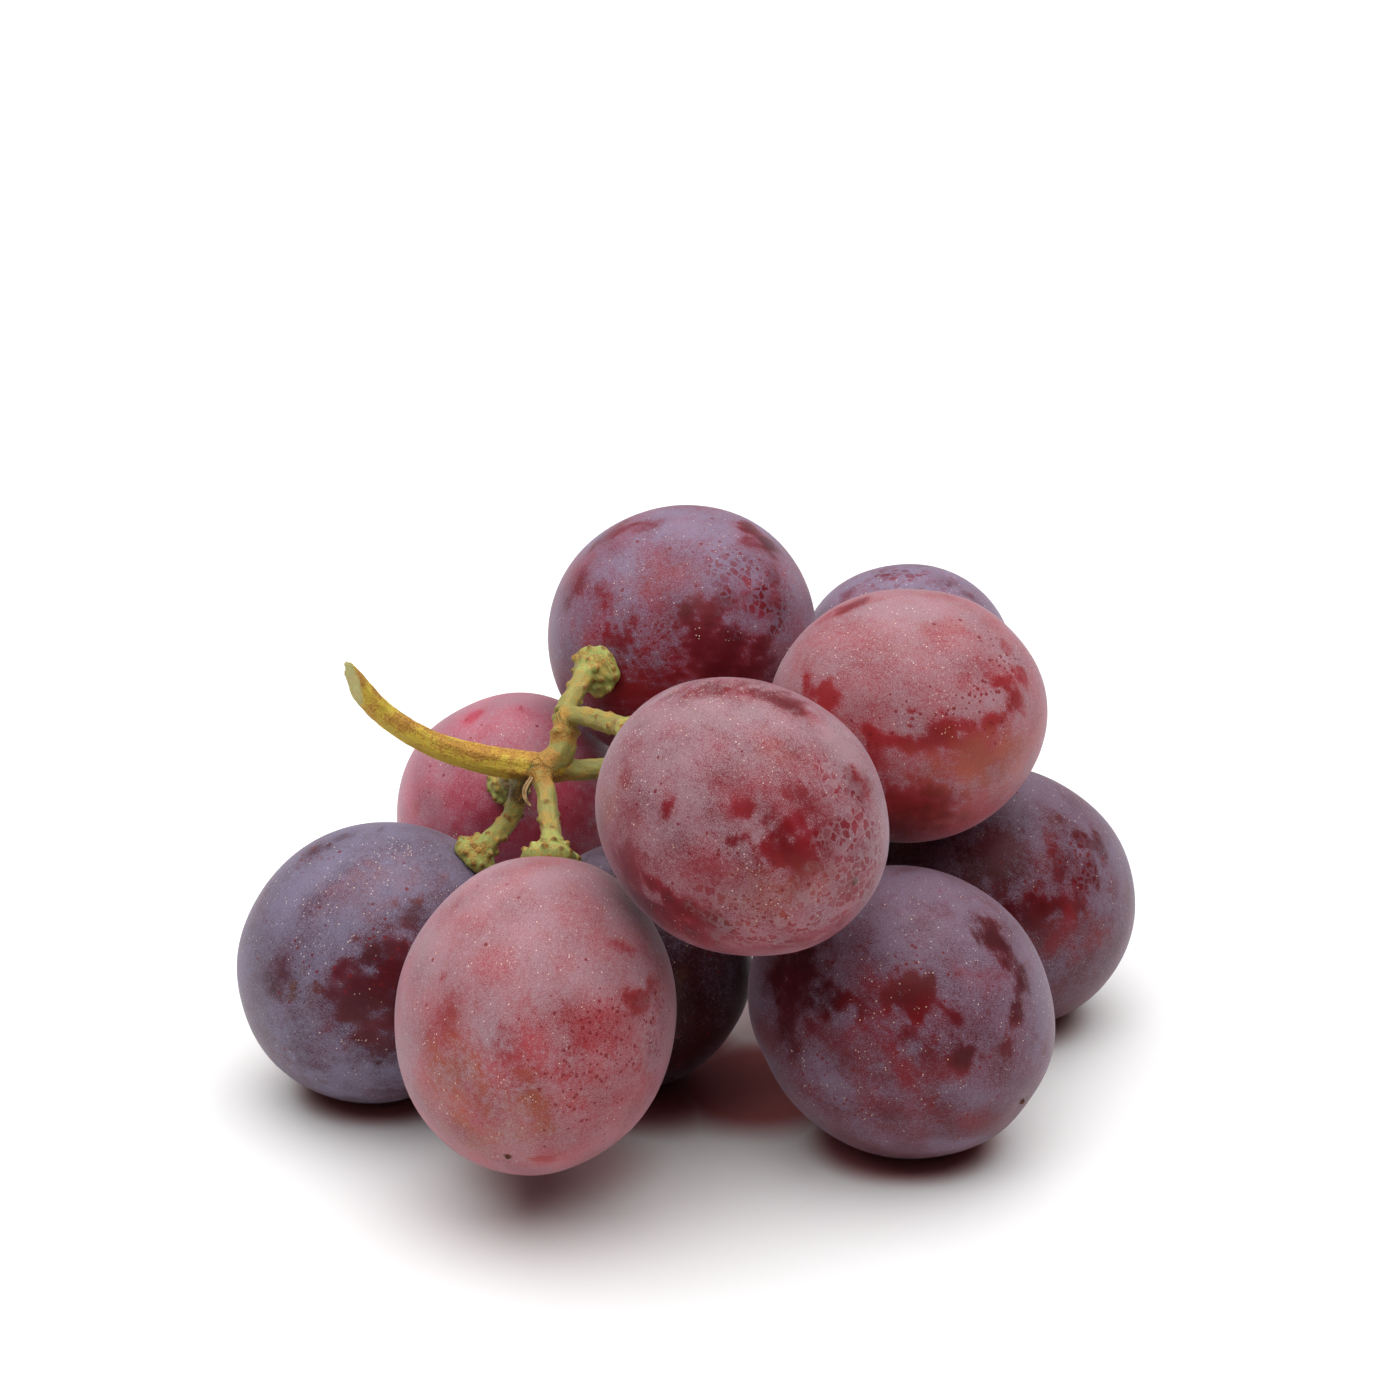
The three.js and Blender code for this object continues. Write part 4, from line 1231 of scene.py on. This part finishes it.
rough_mesh = bpy.data.meshes.new("rough_stalk")
rough_mesh.from_pydata(stalk_points.tolist(), [], stalk_faces)
rough = add_object("rough_stalk", rough_mesh)
remesh = rough.modifiers.new("fuse", "REMESH")
remesh.mode, remesh.voxel_size = "VOXEL", VOXEL
smooth = rough.modifiers.new("smooth", "SMOOTH")
smooth.factor, smooth.iterations = SMOOTH_SHARE, SMOOTH_TIMES
graph = bpy.context.evaluated_depsgraph_get()
stalk_mesh = bpy.data.meshes.new_from_object(rough.evaluated_get(graph))
bpy.data.objects.remove(rough)
fused_points = np.empty(len(stalk_mesh.vertices) * 3, dtype=np.float32)
stalk_mesh.vertices.foreach_get("co", fused_points)
fused_points = fused_points.reshape(-1, 3).astype(float)
print("fused stalk:", len(fused_points), "vertices")

# %% [markdown]
# To know what grew where, each vertex of the fused skin finds its nearest point on the curves, which
# tells it how far along and round the stalk it is, and also its nearest wart and its nearest seat.

# %% Find each vertex's place on the stalk
LINES_APART = 60                        # mm from one curve's pattern to the next one's
NODE_AT, OLD_STALK_AT = [-13.3, -2.6, 30.1], [-15.7, -2.2, 28.2]
WART_TOP = 0.12                         # mm that a wart's brown top stands out of its place
FOLD = [0.7, -0.4]                      # folds the sideways offset from three numbers into two

lines = [path for _, path in centrelines]
line_points = np.concatenate(lines)
line_ahead = unit(np.concatenate([np.gradient(path[:, :3], axis=0) for path in lines]))
line_along = np.concatenate(
    [np.arange(len(path)) * PATH_STEP + LINES_APART * i for i, path in enumerate(lines)])
line_is_stem = np.concatenate([np.full(len(path), is_stem) for is_stem, path in centrelines])


def nearest(points, targets, block=4000):
    """For each point, the number of the closest target and its distance, a block at a time."""
    found = []
    for start in range(0, len(points), block):
        squared = ((points[start:start + block, None] - targets) ** 2).sum(axis=2)
        number = squared.argmin(axis=1)
        found.append(np.stack([number, np.sqrt(squared[np.arange(len(number)), number])], axis=1))
    found = np.concatenate(found)
    return found[:, 0].astype(int), found[:, 1]


on_line, _ = nearest(fused_points, line_points[:, :3])
_, wart_distance = nearest(fused_points, wart_places + wart_ways * WART_TOP)
seat_points = np.array([seat_of(name)[0] for name in BERRY_STALKS])
on_seat, seat_distance = nearest(fused_points, seat_points)
above_seat = fused_points[:, 2] - seat_points[on_seat, 2]
offset = fused_points - line_points[on_line, :3]
ahead = line_ahead[on_line]
sideways = offset - (offset * ahead).sum(axis=1, keepdims=True) * ahead
upward = sideways[:, 2] / np.maximum(np.linalg.norm(sideways, axis=1), 1e-6)
stem_share = np.where(line_is_stem[on_line], 1.0, 0.0)
stalk_place = np.c_[sideways[:, :2] + sideways[:, 2:] * FOLD, line_along[on_line]]
node_distance, collar_distance, old_distance = (
    np.linalg.norm(fused_points - place, axis=1) for place in (NODE_AT, COLLARS[0][0], OLD_STALK_AT))
print(f"on the stem: {stem_share.mean():.0%} of the vertices, "
      f"farthest from a seat: {seat_distance.max():.0f} mm")

# %% [markdown]
# The stem is olive with orange rust along its upper side, the younger stalks are a fresher yellow
# green, the cups are green, and warts, collars and joints are brown. The colours go on in layers, and
# a second field, the crust, says where the skin is rough.

# %% Paint the stalk
OLIVE, FRESH, CUP_GREEN, CUT_PALE = "ccb242", "908a4a", "9ea65a", "b4ac6c"
RUST, WART_BROWN, NODE_ORANGE, OLD_BROWN = "bc8636", "7a4a20", "ae803a", "4a3218"
PATCH_LENGTH = 2.4                      # mm
CUT_EDGES, CUT_FACE_X = (-0.16, -0.04), -28         # mm before the cut's plane; where the face is

patchy = waver(fused_points, PATCH_LENGTH, 7)


def around(distance, radius, soft, ragged=0.0):
    """1 well inside the radius (mm), 0 outside it, with an edge as wide as soft, made ragged by the
    patchy field."""
    return s_curve(radius - distance + ragged * patchy, 0, soft)


at_cut = (s_curve((fused_points - CUT_POINT) @ CUT_NORMAL, *CUT_EDGES)
          * (fused_points[:, 0] < CUT_FACE_X))
layers = [                              # colour, and the share with which it covers those before it
    (FRESH, 1 - stem_share),
    (CUP_GREEN, 0.85 * around(seat_distance, 4.0, 1.3)),
    (RUST, 0.65 * stem_share * s_curve(upward + 0.5 * patchy, -0.1, 0.9)),
    (RUST, 0.35 * s_curve(patchy, 0.4, 1.4)),
    (NODE_ORANGE, 0.75 * around(node_distance, 2.6, 1.2, 0.4)),
    (NODE_ORANGE, 0.7 * around(collar_distance, 1.9, 0.8, 0.3)),
    (OLD_BROWN, 0.85 * around(old_distance, 2.5, 1.2, 0.5)),
    (WART_BROWN, 0.85 * around(wart_distance, 0.34, 0.16)),
    (CUT_PALE, at_cut),
]
crusts = (                              # rough on top of the stem, at the joints and on the cups
    0.9 * stem_share * s_curve(upward + 0.4 * patchy, -0.5, 0.8),
    around(node_distance, 2.4, 1.2), around(collar_distance, 1.9, 0.8),
    0.8 * around(seat_distance, 2.9, 0.7, 0.4) * s_curve(above_seat, 0.2, 2.0),
    0.1 * around(old_distance, 3.4, 1.4), 0.1)
crust = np.clip(sum(crusts), 0, 1) * (1 - at_cut)
stalk_tint = np.repeat(colour(OLIVE)[None], len(fused_points), axis=0)
for code, share in layers:
    stalk_tint = stalk_tint * (1 - share[:, None]) + colour(code) * share[:, None]
print(f"crust: {crust.mean():.2f} on the mean, cut face: {(at_cut > 0.5).sum()} vertices")

# %% [markdown]
# Fine grooves run along a green stem. They are thinner than the remesh could hold, so they are a
# noise drawn out along the stalk, used for the bump and to vary the colour a little.

# %% Wire the stalk's material
GROOVE_STRETCH, GROOVE_SCALE = (1, 1, 0.14), 3.6
GRAIN_SCALE, PATCH_SCALE, SPECK_SCALE = 5.0, 1.3, 10.0      # per mm
GROOVE_LIGHT, DARKEST = 0.9, 0.6        # how much the grooves vary the colour, from its darkest
CRUST_PUSH, RUST_EDGES, RUST_COVER = 0.13, (0.72, 0.78), 0.75
DARK_RUST, PALE_RUST = "8a5220", "cc9440"
STALK_BUMP = {"Strength": 0.9, "Distance": 0.0002}          # m
STALK_SHINE = {"Specular IOR Level": 0.35, "Subsurface Weight": 0.12,
               "Subsurface Radius": (0.6, 1.0, 0.3), "Subsurface Scale": 0.0008}


green, wires, shader = new_material("stalk_green")
place = wires.add("Attribute", attribute_name="place").outputs["Vector"]
paint = wires.add("Attribute", attribute_name="tint").outputs["Color"]
rusty = wires.add("Attribute", attribute_name="crust").outputs["Fac"]
object_place = wires.add("TexCoord").outputs["Object"]
in_mm = wires.vector("MULTIPLY", object_place, (1 / MM, 1 / MM, 1 / MM))
grooves = wires.noise(wires.vector("MULTIPLY", place, GROOVE_STRETCH), GROOVE_SCALE, 3.0, 0.6)
grains = wires.noise(in_mm, GRAIN_SCALE, 2.0, 0.6)
patches = wires.noise(in_mm, PATCH_SCALE)
specks = wires.noise(in_mm, SPECK_SCALE, 1.0)
varied = wires.brighten(paint, wires.plus(wires.times(grooves, GROOVE_LIGHT), DARKEST))
rough_share = wires.plus(wires.times(grains, 0.8), wires.times(patches, 0.5))
rough_share = wires.step(wires.plus(rough_share, wires.times(rusty, CRUST_PUSH)), *RUST_EDGES)
rust = wires.mix(wires.step(specks, 0.4, 0.6), painted(DARK_RUST), painted(PALE_RUST))
covered = wires.mix(wires.times(rough_share, RUST_COVER), varied, rust)
wires.put(shader.inputs["Base Color"], covered)
wires.put(shader.inputs["Roughness"], wires.plus(wires.times(grooves, 0.3), 0.4))
height = wires.plus(grooves, wires.times(grains, wires.plus(rusty, 0.4)))
bump = wires.add("Bump", {"Height": height, **STALK_BUMP})
wires.put(shader.inputs["Normal"], bump.outputs["Normal"])
for socket, value in STALK_SHINE.items():
    shader.inputs[socket].default_value = value
print("stalk's material:", len(green.node_tree.nodes), "nodes")

# %% [markdown]
# The fused mesh goes back to metres, takes the painted fields and becomes the stalk's piece.

# %% Finish the stalk
stalk_mesh.name = "grown_stalk"
stalk_mesh.vertices.foreach_set("co", (fused_points * MM).astype(np.float32).ravel())
stalk_mesh.shade_smooth()
store(stalk_mesh, "place", stalk_place)
store(stalk_mesh, "tint", np.c_[stalk_tint, np.ones(len(stalk_tint))])
store(stalk_mesh, "crust", crust)
stalk_mesh.materials.clear()
stalk_mesh.materials.append(green)
stalk = add_object("grown_stalk", stalk_mesh)
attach(stalk, "root")
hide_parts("stalk")
print("stalk faces:", len(stalk_mesh.polygons))

# %% [markdown]
# Under the node hangs a dry, tan scale, the last of the leaf that grew there. It is a thin curled
# strip: a path gives its middle, its width narrows to a point, and Solidify gives it thickness.

# %% Hang the dry scale
SCALE_PATH = [                          # x, y, z and half the width (mm)
    [-14.5, -4, 30.2, 0.14], [-15.1, -4.6, 29.3, 0.2],
    [-15.1, -4.9, 28.5, 0.15], [-14.6, -5.1, 27.8, 0.05],
]
SCALE_STEP, SCALE_COLUMNS, SCALE_CURL = 0.1, 9, 0.7
SCALE_THICK, SCALE_WAVER = 0.12, 0.04   # mm
FIBRES_PER_METRE = 2600.0

path = smooth_path(SCALE_PATH, SCALE_STEP)
ahead = unit(np.gradient(path[:, :3], axis=0))
side = unit(np.cross(ahead, [0.3, -1.0, 0.1]))
hollow = np.cross(side, ahead)
across = np.linspace(-1, 1, SCALE_COLUMNS)
strip = (path[:, None, :3] + side[:, None] * (path[:, 3:] * across)[..., None]
         + hollow[:, None] * (SCALE_CURL * path[:, 3:] * (across**2 - 0.5))[..., None])
rows, columns = strip.shape[:2]
crinkle = SCALE_WAVER * waver(strip.reshape(-1, 3), 0.8, 3)
strip += crinkle.reshape(rows, columns, 1) * hollow[:, None]
index = np.arange(rows * columns).reshape(rows, columns)
squares = np.stack([index[:-1, :-1], index[:-1, 1:], index[1:, 1:], index[1:, :-1]], axis=-1)
scale = new_piece("dry_scale", strip.reshape(-1, 3), squares.reshape(-1, 4).tolist())
thick = scale.modifiers.new("thickness", "SOLIDIFY")
thick.thickness, thick.offset = SCALE_THICK * MM, 0

tan, wires, shader = new_material("dry_tan")
fibre = wires.noise(wires.add("TexCoord").outputs["Object"], FIBRES_PER_METRE, 3.0)
wires.put(shader.inputs["Base Color"], wires.mix(fibre, painted("8a6434"), painted("d8b888")))
shader.inputs["Roughness"].default_value = 0.75
bump = wires.add("Bump", {"Height": fibre, "Strength": 0.5, "Distance": 0.00008})
wires.put(shader.inputs["Normal"], bump.outputs["Normal"])
scale.data.materials.append(tan)
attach(scale, "root")
print("dry scale:", len(scale.data.polygons), "faces")
